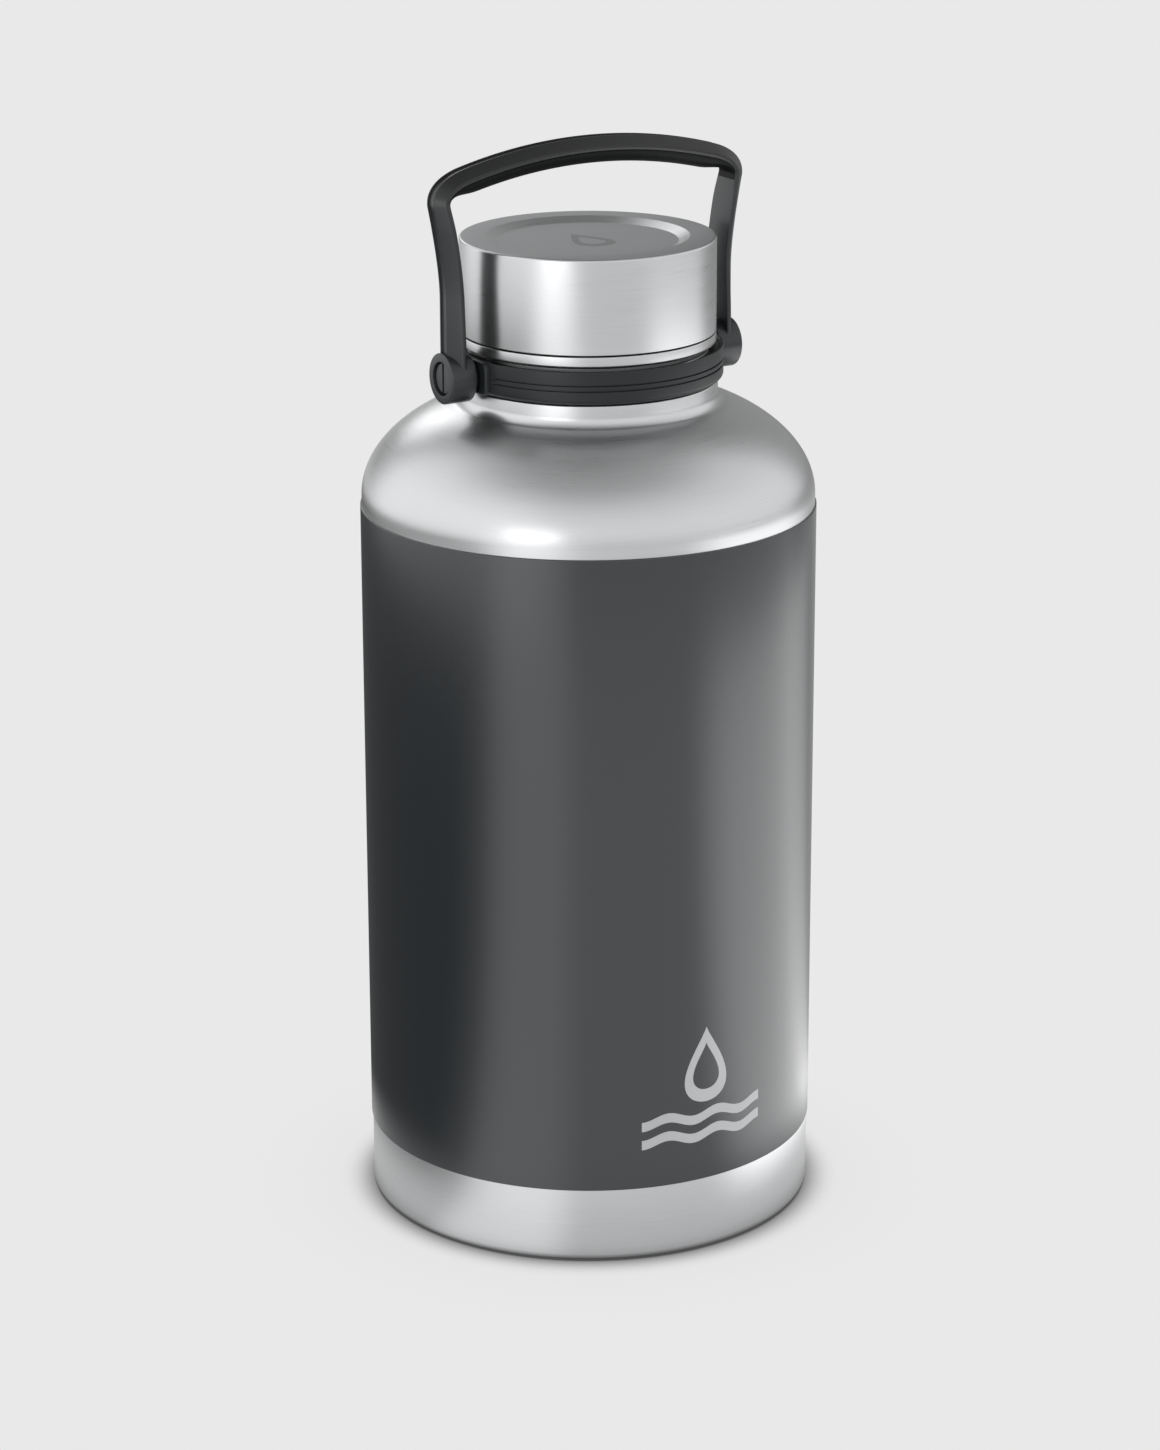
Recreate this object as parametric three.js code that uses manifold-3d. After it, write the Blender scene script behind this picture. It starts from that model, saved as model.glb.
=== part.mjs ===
// Insulated growler: a double-walled steel bottle with a swinging carry handle,
// a screw-in pouring spout and a screw cap. Millimetres, +Z up, origin at the
// centre of the base ring. The handle pivots about an axis along X.

import * as THREE from 'three';
import { mergeVertices } from 'three/addons/utils/BufferGeometryUtils.js';
import Module from 'manifold-3d';

const wasm = await Module();
wasm.setup();

// ---- driving dimensions -------------------------------------------------
const SIDES = 32;             // facets round every large turned part
const SMALL_SIDES = 16;       // facets round screws, washers and inserts
const HUB_SIDES = 24;
const GAP = 0.3;              // clearance between parts that touch

const COAT_R = 59.0;          // outside of the coated body
const BARE_R = 58.63;         // outside of the bare steel band and shoulder
const COAT_LOW = 20.1;
const COAT_HIGH = 188.7;
const COAT_WALL = 0.7;
const COAT_EDGE = 0.3;
const SHELL_WALL = 0.8;
const BASE_CORNER = 2.0;
const BASE_HOLE_R = 48.0;
const BASE_FLANGE = 1.0;

const SHOULDER_Z = 191.0;     // the shoulder is a quarter ellipse from here
const SHOULDER_HUB_R = 11.0;  // radius of the ellipse's centre
const SHOULDER_RISE = 28.5;
const SHOULDER_STEPS = 7;
const NECK_R = 33.3;
const NECK_STEP_Z = 221.4;
const LIP_SEAT_R = 31.0;
const NECK_TOP_Z = 229.3;
const NECK_FILLET = 3.0;

const VESSEL_R = 54.8;        // inside of the liner
const VESSEL_WALL = 0.6;
const VESSEL_FLOOR_Z = 10.0;
const VESSEL_CORNER = 8.8;
const VESSEL_SHOULDER_Z = 190.0;
const VESSEL_RISE = 24.8;
const MOUTH_R = 29.1;
const LIP_Z = 230.4;
const LIP_THICK = 0.8;

const FOIL_R = 56.1;          // radiation foil in the vacuum gap
const FOIL_THICK = 0.3;
const FOIL_Z = [22.0, 186.0];

const BASE_RIM_R = 56.1;      // the base is a dish raised inside its rim
const BASE_DISH_R = 44.0;
const BASE_DISH_RISE = 2.7;
const BASE_SLOPE = 3.0;
const SEAL_HOLE_R = 2.5;
const SEAL_R = 2.2;
const SEAL_Z = [3.7, 5.5];
const COVER_R = 14.0;
const COVER_Z = [2.7, 3.3];
const GETTER_R = 5.0;
const GETTER_X = 20.0;
const GETTER_Z = [7.3, 9.1];

const COLLAR_R = 34.69;
const COLLAR_INNER_R = 31.3;
const COLLAR_LOW = 221.8;
const COLLAR_TOP = 230.3;
const COLLAR_EDGE = 1.3;
const COLLAR_LIP = 0.6;       // width of the lip round the trim ring's recess
const COLLAR_RECESS = 1.0;
const EAR_FACE_X = 34.9;
const EAR_ROOT_X = 32.0;
const EAR_WIDTH = 17.0;
const EAR_HEIGHT = 8.2;
const EAR_CORNER = 2.0;

const PIVOT_Z = 225.8;
const HUB_R = 6.5;
const HUB_OUTER_X = 42.87;
const HUB_INNER_X = 36.0;
const HUB_BORE_R = 2.7;
const HEAD_SEAT_R = 4.3;
const HEAD_SEAT_X = 41.0;
const HEAD_R = 3.9;
const HEAD_X = 42.5;
const SHANK_R = 2.3;
const SHANK_END_X = 32.3;
const SLOT_WIDTH = 1.0;
const SLOT_DEPTH = 0.8;
const INSERT_R = 3.4;
const WASHER_R = 5.4;
const WASHER_X = [35.2, 35.7];

const ARM_X = 42.1;           // outer face of the handle's arm, low down
const ARM_STRAIGHT_Z = 246.0;
const CORNER_X = 45.3;
const CORNER_Z = 269.6;
const BAR_X = 36.5;
const FLARE_Z = 254.0;        // control point of the arm's flare
const CORNER_REACH = 4.7;     // how far the corner's control points stand off
const CORNER_BULGE = 0.5;
const BAR_R = 140.0;          // the bar's outer face is an arc of this radius
const BAR_TOP_Z = 283.3;
const STRAP_HALF = 4.1;
const STRAP_THICK = 3.6;
const STRIP_HALF = 1.65;
const CHANNEL_HALF = 1.2;
const CHANNEL_DEPTH = 0.45;
const STRAP_EDGE = 1.1;
const STRAP_TAPER = 0.2;      // the edge draws in by this towards the inside
const STRAP_ROOT_HALF = 5.4;
const STRAP_ROOT_Z = [231.0, 243.0];
const GRIP_THICK = 3.2;
const GRIP_HALF = 3.7;
const GRIP_SIDE = 0.35;       // height of the grip's straight side

const THREAD_LEAD = 5.0;
const THREAD_WIDTH = 1.6;
const THREAD_TIP = 0.9;
const THREAD_FADE = 4;        // facets over which a thread's ends fade
const MOUTH_THREAD = { crest: 27.9, startTurn: 0.25, startZ: 219.75 };
const PLUG_THREAD = { crest: 28.7, startTurn: 0, startZ: 221.0 };
const SPOUT_THREAD = { crest: 23.8, startTurn: 0, startZ: 237.0 };
const CAP_THREAD = { crest: 23.1, startTurn: 0.375, startZ: 236.375 };

const PLUG_R = 27.5;
const PLUG_WALL = 2.2;
const PLUG_LOW = 217.0;
const FUNNEL_Z = 226.0;
const SPOUT_R = 22.6;
const SPOUT_BORE_R = 19.2;
const SPOUT_TOP_Z = 250.0;
const SPOUT_LIP = 0.8;
const FLANGE_Z = [232.0, 233.3];
const MOUTH_GASKET_R = [29.4, 31.6];
const TRIM_R = 32.8;
const TRIM_WALL = 0.8;
const TRIM_Z = [230.9, 233.6];
const TRIM_CHAMFER = 0.45;

const CAP_R = 32.8;
const CAP_WALL = 0.8;
const CAP_LOW = 234.0;
const CAP_TOP = 258.1;
const CAP_EDGE = 0.6;
const RECESS_RIM_R = 26.0;
const RECESS_R = 23.1;
const RECESS_DEPTH = 1.3;
const CORE_BORE_R = 24.3;
const CORE_WALL_R = 26.6;
const CORE_ROOF_Z = [251.5, 253.1];
const CORE_LEDGE = 0.2;       // the core's flange starts this far above the shell's rim
const CORE_FLANGE_TOP = 236.0;
const LINER_DISC_R = 18.6;
const CAP_GASKET_R = [19.0, 22.9];

// ---- general shapes -----------------------------------------------------
const point = (radius, height) => new THREE.Vector2(radius, height);

// A profile of [radius, height] turned about Z. It runs with the material on
// its left, and starts and ends on the axis or closes on itself.
function turned(profile, sides = SIDES) {
  const geometry = new THREE.LatheGeometry(profile, sides);
  geometry.rotateX(Math.PI / 2);
  return geometry;
}

function turnedRing(profile, sides = SIDES) {
  return turned([...profile, profile[0]], sides);
}

// The same, turned about X and centred on the handle's pivot axis.
function turnedAboutPivot(profile, sides = SMALL_SIDES) {
  const geometry = new THREE.LatheGeometry(profile, sides);
  geometry.rotateZ(-Math.PI / 2);
  geometry.translate(0, 0, PIVOT_Z);
  return geometry;
}

function ringAboutPivot(profile, sides = SMALL_SIDES) {
  return turnedAboutPivot([...profile, profile[0]], sides);
}

// Points of an ellipse arc between two angles, as radius and height.
function arc(centreR, centreZ, radiusR, radiusZ, from, to, steps) {
  const points = [];
  for (let i = 0; i <= steps; i += 1) {
    const angle = from + ((to - from) * i) / steps;
    points.push(point(centreR + radiusR * Math.cos(angle), centreZ + radiusZ * Math.sin(angle)));
  }
  return points;
}

// A closed skin over rings of equal length, each end closed on its centre.
function loft(rings) {
  const count = rings[0].length;
  const positions = [];
  const indices = [];
  rings.flat().forEach((p) => positions.push(p.x, p.y, p.z));
  for (let i = 0; i + 1 < rings.length; i += 1) {
    for (let j = 0; j < count; j += 1) {
      const a = i * count + j;
      const b = i * count + ((j + 1) % count);
      indices.push(a, b, b + count, a, b + count, a + count);
    }
  }
  const closeEnd = (ring, start, flip) => {
    const centre = ring.reduce((sum, p) => sum.add(p), new THREE.Vector3()).divideScalar(count);
    const hub = positions.length / 3;
    positions.push(centre.x, centre.y, centre.z);
    for (let j = 0; j < count; j += 1) {
      const a = start + j;
      const b = start + ((j + 1) % count);
      indices.push(...(flip ? [hub, b, a] : [hub, a, b]));
    }
  };
  closeEnd(rings[0], 0, true);
  closeEnd(rings.at(-1), (rings.length - 1) * count, false);
  const geometry = new THREE.BufferGeometry();
  geometry.setAttribute('position', new THREE.Float32BufferAttribute(positions, 3));
  geometry.setIndex(indices);
  return geometry;
}

// ---- joins and cuts -----------------------------------------------------
function toSolid(geometry) {
  const bare = geometry.clone();
  bare.deleteAttribute('normal');
  bare.deleteAttribute('uv');
  const merged = mergeVertices(bare, 1e-4);
  const triangles = [];
  const index = merged.index.array;
  for (let i = 0; i < index.length; i += 3) {
    const [a, b, c] = [index[i], index[i + 1], index[i + 2]];
    if (a !== b && b !== c && c !== a) triangles.push(a, b, c);
  }
  const mesh = new wasm.Mesh({
    numProp: 3,
    vertProperties: new Float32Array(merged.attributes.position.array),
    triVerts: new Uint32Array(triangles),
  });
  return new wasm.Manifold(mesh);
}

function fromSolid(solid) {
  const mesh = solid.getMesh();
  const geometry = new THREE.BufferGeometry();
  geometry.setAttribute('position', new THREE.BufferAttribute(mesh.vertProperties, 3));
  geometry.setIndex(new THREE.BufferAttribute(mesh.triVerts, 1));
  return geometry;
}

function combine(base, { joined = [], cut = [] }) {
  let solid = toSolid(base);
  for (const extra of joined) solid = solid.add(toSolid(extra));
  for (const tool of cut) solid = solid.subtract(toSolid(tool));
  return fromSolid(solid);
}

// ---- screw threads ------------------------------------------------------
// One turn of a right-handed ridge of trapezium section, from radius `root`
// inside the wall to radius `crest`, rising THREAD_LEAD a turn. Its corners
// stand half a facet round from the wall's, so that no two edges meet.
function threadRidge(root, { crest, startTurn, startZ }) {
  const half = THREAD_WIDTH / 2;
  const tip = THREAD_TIP / 2;
  const rings = [];
  for (let i = 0; i <= SIDES; i += 1) {
    const angle = (startTurn + (i + 0.5) / SIDES) * 2 * Math.PI;
    const z = startZ + (THREAD_LEAD * i) / SIDES;
    const height = Math.min(1, 0.5 + (0.5 * Math.min(i, SIDES - i)) / THREAD_FADE);
    const peak = root + (crest - root) * height;
    const section = [[root, -half], [peak, -tip], [peak, tip], [root, half]];
    if (crest > root) section.reverse();
    rings.push(section.map(([radius, rise]) => (
      new THREE.Vector3(radius * Math.cos(angle), radius * Math.sin(angle), z + rise)
    )));
  }
  return loft(rings);
}

// ---- bottle -------------------------------------------------------------
const shoulderSpan = BARE_R - SHOULDER_HUB_R;

function shoulderHeight(radius) {
  return SHOULDER_Z + SHOULDER_RISE * Math.sqrt(1 - ((radius - SHOULDER_HUB_R) / shoulderSpan) ** 2);
}

function shoulderArc(span, rise, start, endR, steps = SHOULDER_STEPS) {
  const end = Math.acos((endR - SHOULDER_HUB_R) / span);
  return arc(SHOULDER_HUB_R, start, span, rise, 0, end, steps);
}

function outerShell() {
  const recessR = COAT_R - COAT_WALL - GAP;
  const innerR = recessR - SHELL_WALL;
  const innerSpan = innerR - SHOULDER_HUB_R;
  const innerRise = SHOULDER_RISE - SHELL_WALL;
  const neckInnerR = NECK_R - SHELL_WALL;
  const filletAngle = 1.394 * Math.PI;
  const filletR = NECK_R + NECK_FILLET * (1 + Math.cos(filletAngle));
  const filletZ = shoulderHeight(filletR) - NECK_FILLET * Math.sin(filletAngle);
  const seatInnerR = LIP_SEAT_R - SHELL_WALL;
  return turnedRing([
    point(BASE_HOLE_R, 0),
    ...arc(BARE_R - BASE_CORNER, BASE_CORNER, BASE_CORNER, BASE_CORNER, -Math.PI / 2, 0, 3),
    point(BARE_R, COAT_LOW - GAP),
    point(recessR, COAT_LOW - GAP),
    point(recessR, COAT_HIGH + GAP),
    point(BARE_R, COAT_HIGH + GAP),
    ...shoulderArc(shoulderSpan, SHOULDER_RISE, SHOULDER_Z, filletR),
    ...arc(NECK_R + NECK_FILLET, filletZ, NECK_FILLET, NECK_FILLET, filletAngle, Math.PI, 3).slice(1),
    point(NECK_R, NECK_STEP_Z),
    point(LIP_SEAT_R, NECK_STEP_Z),
    point(LIP_SEAT_R, NECK_TOP_Z),
    point(seatInnerR, NECK_TOP_Z),
    point(seatInnerR, NECK_STEP_Z - SHELL_WALL),
    point(neckInnerR, NECK_STEP_Z - SHELL_WALL),
    ...shoulderArc(innerSpan, innerRise, SHOULDER_Z, neckInnerR).reverse(),
    point(innerR, BASE_FLANGE + BASE_CORNER - SHELL_WALL / 2),
    point(innerR - SHELL_WALL, BASE_FLANGE),
    point(BASE_HOLE_R, BASE_FLANGE),
  ]);
}

function powderCoat() {
  const innerR = COAT_R - COAT_WALL;
  return turnedRing([
    point(innerR, COAT_LOW),
    point(COAT_R - COAT_EDGE, COAT_LOW),
    point(COAT_R, COAT_LOW + COAT_EDGE),
    point(COAT_R, COAT_HIGH - COAT_EDGE),
    point(COAT_R - COAT_EDGE, COAT_HIGH),
    point(innerR, COAT_HIGH),
  ]);
}

function innerVessel() {
  const outerR = VESSEL_R + VESSEL_WALL;
  const outerSpan = outerR - SHOULDER_HUB_R;
  const outerRise = VESSEL_RISE + VESSEL_WALL;
  const outerMouthR = MOUTH_R + LIP_THICK;
  const cornerZ = VESSEL_FLOOR_Z + VESSEL_CORNER;
  const cornerR = VESSEL_R - VESSEL_CORNER;
  const outerCorner = VESSEL_CORNER + VESSEL_WALL;
  const wall = turned([
    point(0, VESSEL_FLOOR_Z - VESSEL_WALL),
    ...arc(cornerR, cornerZ, outerCorner, outerCorner, -Math.PI / 2, 0, 4),
    ...shoulderArc(outerSpan, outerRise, VESSEL_SHOULDER_Z, outerMouthR, 6),
    point(outerMouthR, LIP_Z - LIP_THICK),
    point(LIP_SEAT_R, LIP_Z - LIP_THICK),
    point(LIP_SEAT_R, LIP_Z),
    point(MOUTH_R, LIP_Z),
    ...shoulderArc(VESSEL_R - SHOULDER_HUB_R, VESSEL_RISE, VESSEL_SHOULDER_Z, MOUTH_R, 6).reverse(),
    ...arc(cornerR, cornerZ, VESSEL_CORNER, VESSEL_CORNER, 0, -Math.PI / 2, 4),
    point(0, VESSEL_FLOOR_Z),
  ]);
  return combine(wall, { joined: [threadRidge(MOUTH_R + GAP, MOUTH_THREAD)] });
}

function radiationFoil() {
  const [low, high] = FOIL_Z;
  return turnedRing([
    point(FOIL_R, low),
    point(FOIL_R + FOIL_THICK, low),
    point(FOIL_R + FOIL_THICK, high),
    point(FOIL_R, high),
  ]);
}

function outerBase() {
  const rimZ = BASE_FLANGE + GAP;
  const dishZ = rimZ + BASE_DISH_RISE;
  return turnedRing([
    point(SEAL_HOLE_R, dishZ),
    point(BASE_DISH_R, dishZ),
    point(BASE_DISH_R + BASE_SLOPE, rimZ),
    point(BASE_RIM_R, rimZ),
    point(BASE_RIM_R, rimZ + SHELL_WALL),
    point(BASE_DISH_R + BASE_SLOPE + GAP, rimZ + SHELL_WALL),
    point(BASE_DISH_R + GAP, dishZ + SHELL_WALL),
    point(SEAL_HOLE_R, dishZ + SHELL_WALL),
  ]);
}

// A bead of solder glass that closes the evacuation hole.
function vacuumSeal() {
  const [low, high] = SEAL_Z;
  return turned([
    point(0, low),
    point(SEAL_R * 0.75, low),
    point(SEAL_R, low + 0.4),
    point(SEAL_R, high - 0.6),
    point(SEAL_R * 0.6, high - 0.1),
    point(0, high),
  ], SMALL_SIDES);
}

function baseCoverDisc() {
  const [low, high] = COVER_Z;
  const middle = (low + high) / 2;
  return turned([
    point(0, low), point(COVER_R - 0.5, low), point(COVER_R, middle), point(COVER_R, high), point(0, high),
  ]);
}

function getterPellet() {
  const [low, high] = GETTER_Z;
  const outline = [point(0, low), point(GETTER_R, low), point(GETTER_R, high), point(0, high)];
  const pellet = turned(outline, SMALL_SIDES);
  pellet.translate(GETTER_X, 0, 0);
  return pellet;
}

// ---- handle collar and pivots -------------------------------------------
function roundedBlock(width, height, depth, corner) {
  const shape = new THREE.Shape();
  const w = width / 2;
  const h = height / 2;
  shape.moveTo(-w + corner, -h);
  shape.lineTo(w - corner, -h);
  shape.absarc(w - corner, -h + corner, corner, -Math.PI / 2, 0, false);
  shape.absarc(w - corner, h - corner, corner, 0, Math.PI / 2, false);
  shape.absarc(-w + corner, h - corner, corner, Math.PI / 2, Math.PI, false);
  shape.absarc(-w + corner, -h + corner, corner, Math.PI, Math.PI * 1.5, false);
  return new THREE.ExtrudeGeometry(shape, { depth, bevelEnabled: false, curveSegments: 3 });
}

// A piece at the right pivot and its copy, half a turn round, at the left one.
function bothSides(geometry) {
  return [geometry, geometry.clone().rotateZ(Math.PI)];
}

function handleCollar() {
  const ring = turnedRing([
    point(COLLAR_INNER_R, COLLAR_LOW),
    ...arc(COLLAR_R - COLLAR_EDGE, COLLAR_LOW + COLLAR_EDGE, COLLAR_EDGE, COLLAR_EDGE, -Math.PI / 2, 0, 3),
    point(COLLAR_R, COLLAR_TOP),
    point(COLLAR_R - COLLAR_LIP, COLLAR_TOP),
    point(COLLAR_R - COLLAR_LIP - 0.8 * COLLAR_RECESS, COLLAR_TOP - COLLAR_RECESS),
    point(COLLAR_INNER_R, COLLAR_TOP - COLLAR_RECESS),
  ]);
  const ear = roundedBlock(EAR_WIDTH, EAR_HEIGHT, EAR_FACE_X - EAR_ROOT_X, EAR_CORNER);
  ear.rotateX(Math.PI / 2);
  ear.rotateZ(Math.PI / 2);
  ear.translate(EAR_ROOT_X, 0, (COLLAR_LOW + COLLAR_TOP) / 2);
  const pocket = turnedAboutPivot([
    point(0, SHANK_END_X - 2 * GAP),
    point(INSERT_R + GAP, SHANK_END_X - 2 * GAP),
    point(INSERT_R + GAP, EAR_FACE_X + 1),
    point(0, EAR_FACE_X + 1),
  ]);
  return combine(ring, { joined: bothSides(ear), cut: bothSides(pocket) });
}

function threadInsert() {
  return ringAboutPivot([
    point(SHANK_R + GAP, SHANK_END_X - GAP),
    point(INSERT_R, SHANK_END_X - GAP),
    point(INSERT_R, EAR_FACE_X - GAP),
    point(SHANK_R + GAP, EAR_FACE_X - GAP),
  ]);
}

function pivotWasher() {
  return ringAboutPivot([
    point(HUB_BORE_R, WASHER_X[0]),
    point(WASHER_R, WASHER_X[0]),
    point(WASHER_R, WASHER_X[1]),
    point(HUB_BORE_R, WASHER_X[1]),
  ], HUB_SIDES);
}

function pivotScrew() {
  const screw = turnedAboutPivot([
    point(0, SHANK_END_X),
    point(SHANK_R, SHANK_END_X),
    point(SHANK_R, HEAD_SEAT_X + GAP),
    point(HEAD_R, HEAD_SEAT_X + GAP),
    point(HEAD_R, HEAD_X),
    point(0, HEAD_X),
  ]);
  const slot = new THREE.BoxGeometry(2 * SLOT_DEPTH, SLOT_WIDTH, 3 * HEAD_R);
  slot.translate(HEAD_X, 0, PIVOT_Z);
  return combine(screw, { cut: [slot] });
}

// ---- handle -------------------------------------------------------------
// The handle's outer line in the XZ plane, from the right pivot over to the
// left: straight arms that flare outwards, tight corners and an arched bar.
function handleLine() {
  const at = (x, z) => new THREE.Vector3(x, 0, z);
  const barZ = (x) => BAR_TOP_Z - BAR_R + Math.sqrt(BAR_R ** 2 - x ** 2);
  const barSlope = BAR_X / (barZ(BAR_X) - (BAR_TOP_Z - BAR_R));
  const half = (side) => [
    new THREE.LineCurve3(at(side * ARM_X, PIVOT_Z), at(side * ARM_X, ARM_STRAIGHT_Z)),
    new THREE.QuadraticBezierCurve3(
      at(side * ARM_X, ARM_STRAIGHT_Z), at(side * ARM_X, FLARE_Z), at(side * CORNER_X, CORNER_Z)),
    new THREE.CubicBezierCurve3(
      at(side * CORNER_X, CORNER_Z), at(side * (CORNER_X + CORNER_BULGE), CORNER_Z + CORNER_REACH),
      at(side * (BAR_X + CORNER_REACH), barZ(BAR_X) - CORNER_REACH * barSlope),
      at(side * BAR_X, barZ(BAR_X))),
  ];
  const start = Math.asin(BAR_X / BAR_R);
  const barArc = (t) => {
    const angle = start * (1 - 2 * t);
    return at(BAR_R * Math.sin(angle), BAR_TOP_Z - BAR_R + BAR_R * Math.cos(angle));
  };
  const samples = [];
  const add = (curve, steps, backwards = false) => {
    for (let i = 0; i < steps; i += 1) samples.push(curve.getPoint(backwards ? 1 - i / steps : i / steps));
  };
  const [armUp, flareUp, turnUp] = half(1);
  const [armDown, flareDown, turnDown] = half(-1);
  add(armUp, 5);
  add(flareUp, 4);
  add(turnUp, 5);
  add({ getPoint: barArc }, 10);
  add(turnDown, 5, true);
  add(flareDown, 4, true);
  add(armDown, 5, true);
  samples.push(at(-ARM_X, PIVOT_Z));
  return samples;
}

// Carries a section of [across, depth] points along the outer line: across
// is along Y, and depth runs inwards from the line.
function strapAlong(line, sectionAt) {
  const rings = line.map((p, i) => {
    const before = line[Math.max(i - 1, 0)];
    const after = line[Math.min(i + 1, line.length - 1)];
    const tangent = after.clone().sub(before).normalize();
    const inward = new THREE.Vector3(tangent.z, 0, -tangent.x).negate();
    return sectionAt(p).map(([across, depth]) => (
      p.clone().addScaledVector(inward, depth).add(new THREE.Vector3(0, across, 0))
    ));
  });
  return loft(rings);
}

function strapSection(p) {
  const spread = THREE.MathUtils.clamp(
    (STRAP_ROOT_Z[1] - p.z) / (STRAP_ROOT_Z[1] - STRAP_ROOT_Z[0]), 0, 1);
  const half = STRAP_HALF + (STRAP_ROOT_HALF - STRAP_HALF) * spread * spread;
  const side = [
    [CHANNEL_HALF, CHANNEL_DEPTH], [CHANNEL_HALF, 0], [STRIP_HALF, 0],
    [half, STRAP_THICK - STRAP_EDGE], [half - STRAP_TAPER, STRAP_THICK],
  ];
  const other = side.map(([across, depth]) => [-across, depth]).reverse();
  return [...side, ...other];
}

function handleFrame() {
  const strap = strapAlong(handleLine(), strapSection);
  const hub = ringAboutPivot([
    point(HUB_BORE_R, HUB_INNER_X),
    point(HUB_R, HUB_INNER_X),
    point(HUB_R, HUB_OUTER_X),
    point(HEAD_SEAT_R, HUB_OUTER_X),
    point(HEAD_SEAT_R, HEAD_SEAT_X),
    point(HUB_BORE_R, HEAD_SEAT_X),
  ], HUB_SIDES);
  const bore = turnedAboutPivot([
    point(0, HUB_INNER_X - 1),
    point(HUB_BORE_R, HUB_INNER_X - 1),
    point(HUB_BORE_R, HEAD_SEAT_X),
    point(HEAD_SEAT_R, HEAD_SEAT_X),
    point(HEAD_SEAT_R, HUB_OUTER_X + 1),
    point(0, HUB_OUTER_X + 1),
  ], HUB_SIDES);
  return combine(strap, { joined: bothSides(hub), cut: bothSides(bore) });
}

function handleGrip() {
  const inside = handleLine().filter((p) => p.z > CORNER_Z + 1);
  const top = STRAP_THICK + GAP;
  const bulge = GRIP_THICK - GAP - GRIP_SIDE;
  const steps = 6;
  const section = [];
  for (let i = 0; i <= steps; i += 1) {
    const angle = (Math.PI * i) / steps;
    section.push([GRIP_HALF * Math.cos(angle), top + GRIP_SIDE + bulge * Math.sin(angle)]);
  }
  section.push([-GRIP_HALF, top], [GRIP_HALF, top]);
  return strapAlong(inside, () => section);
}

// ---- spout --------------------------------------------------------------
function spoutAdaptor() {
  const plugInnerR = PLUG_R - PLUG_WALL;
  const flangeR = TRIM_R - TRIM_WALL - GAP;
  const [flangeLow, flangeTop] = FLANGE_Z;
  const body = turnedRing([
    point(plugInnerR, PLUG_LOW),
    point(PLUG_R, PLUG_LOW),
    point(PLUG_R, flangeLow),
    point(flangeR, flangeLow),
    point(flangeR, flangeTop),
    point(SPOUT_R + SPOUT_LIP, flangeTop),
    point(SPOUT_R, flangeTop + SPOUT_LIP),
    point(SPOUT_R, SPOUT_TOP_Z - SPOUT_LIP),
    point(SPOUT_R - SPOUT_LIP, SPOUT_TOP_Z),
    point(SPOUT_BORE_R + SPOUT_LIP, SPOUT_TOP_Z),
    point(SPOUT_BORE_R, SPOUT_TOP_Z - SPOUT_LIP),
    point(SPOUT_BORE_R, flangeTop),
    point(plugInnerR, FUNNEL_Z),
  ]);
  const threads = [threadRidge(PLUG_R - GAP, PLUG_THREAD), threadRidge(SPOUT_R - GAP, SPOUT_THREAD)];
  return combine(body, { joined: threads });
}

function spoutTrimRing() {
  const innerR = TRIM_R - TRIM_WALL;
  const [low, high] = TRIM_Z;
  return turnedRing([
    point(innerR, low),
    point(TRIM_R - TRIM_CHAMFER, low),
    point(TRIM_R, low + TRIM_CHAMFER),
    point(TRIM_R, high),
    point(innerR, high),
  ]);
}

function mouthGasket() {
  const low = LIP_Z + GAP;
  const high = FLANGE_Z[0] - GAP;
  const [innerR, outerR] = MOUTH_GASKET_R;
  return turnedRing([point(innerR, low), point(outerR, low), point(outerR, high), point(innerR, high)]);
}

// ---- cap ----------------------------------------------------------------
function capShell() {
  const innerR = CAP_R - CAP_WALL;
  const slope = RECESS_RIM_R - RECESS_R;
  return turned([
    point(0, CAP_TOP - RECESS_DEPTH - CAP_WALL),
    point(RECESS_R + 0.3, CAP_TOP - RECESS_DEPTH - CAP_WALL),
    point(RECESS_R + 0.3 + slope, CAP_TOP - CAP_WALL),
    point(innerR - CAP_EDGE, CAP_TOP - CAP_WALL),
    point(innerR, CAP_TOP - CAP_WALL - CAP_EDGE),
    point(innerR, CAP_LOW),
    point(CAP_R, CAP_LOW),
    point(CAP_R, CAP_TOP - CAP_EDGE),
    point(CAP_R - CAP_EDGE, CAP_TOP),
    point(RECESS_RIM_R, CAP_TOP),
    point(RECESS_R, CAP_TOP - RECESS_DEPTH),
    point(0, CAP_TOP - RECESS_DEPTH),
  ]);
}

function capCore() {
  const flangeR = CAP_R - CAP_WALL - GAP;
  const body = turned([
    point(0, CORE_ROOF_Z[0]),
    point(CORE_BORE_R, CORE_ROOF_Z[0]),
    point(CORE_BORE_R, CAP_LOW + 1.0),
    point(CORE_BORE_R + 0.7, CAP_LOW + CORE_LEDGE),
    point(flangeR, CAP_LOW + CORE_LEDGE),
    point(flangeR, CORE_FLANGE_TOP),
    point(CORE_WALL_R, CORE_FLANGE_TOP),
    point(CORE_WALL_R, CORE_ROOF_Z[1]),
    point(0, CORE_ROOF_Z[1]),
  ]);
  return combine(body, { joined: [threadRidge(CORE_BORE_R + GAP, CAP_THREAD)] });
}

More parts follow.
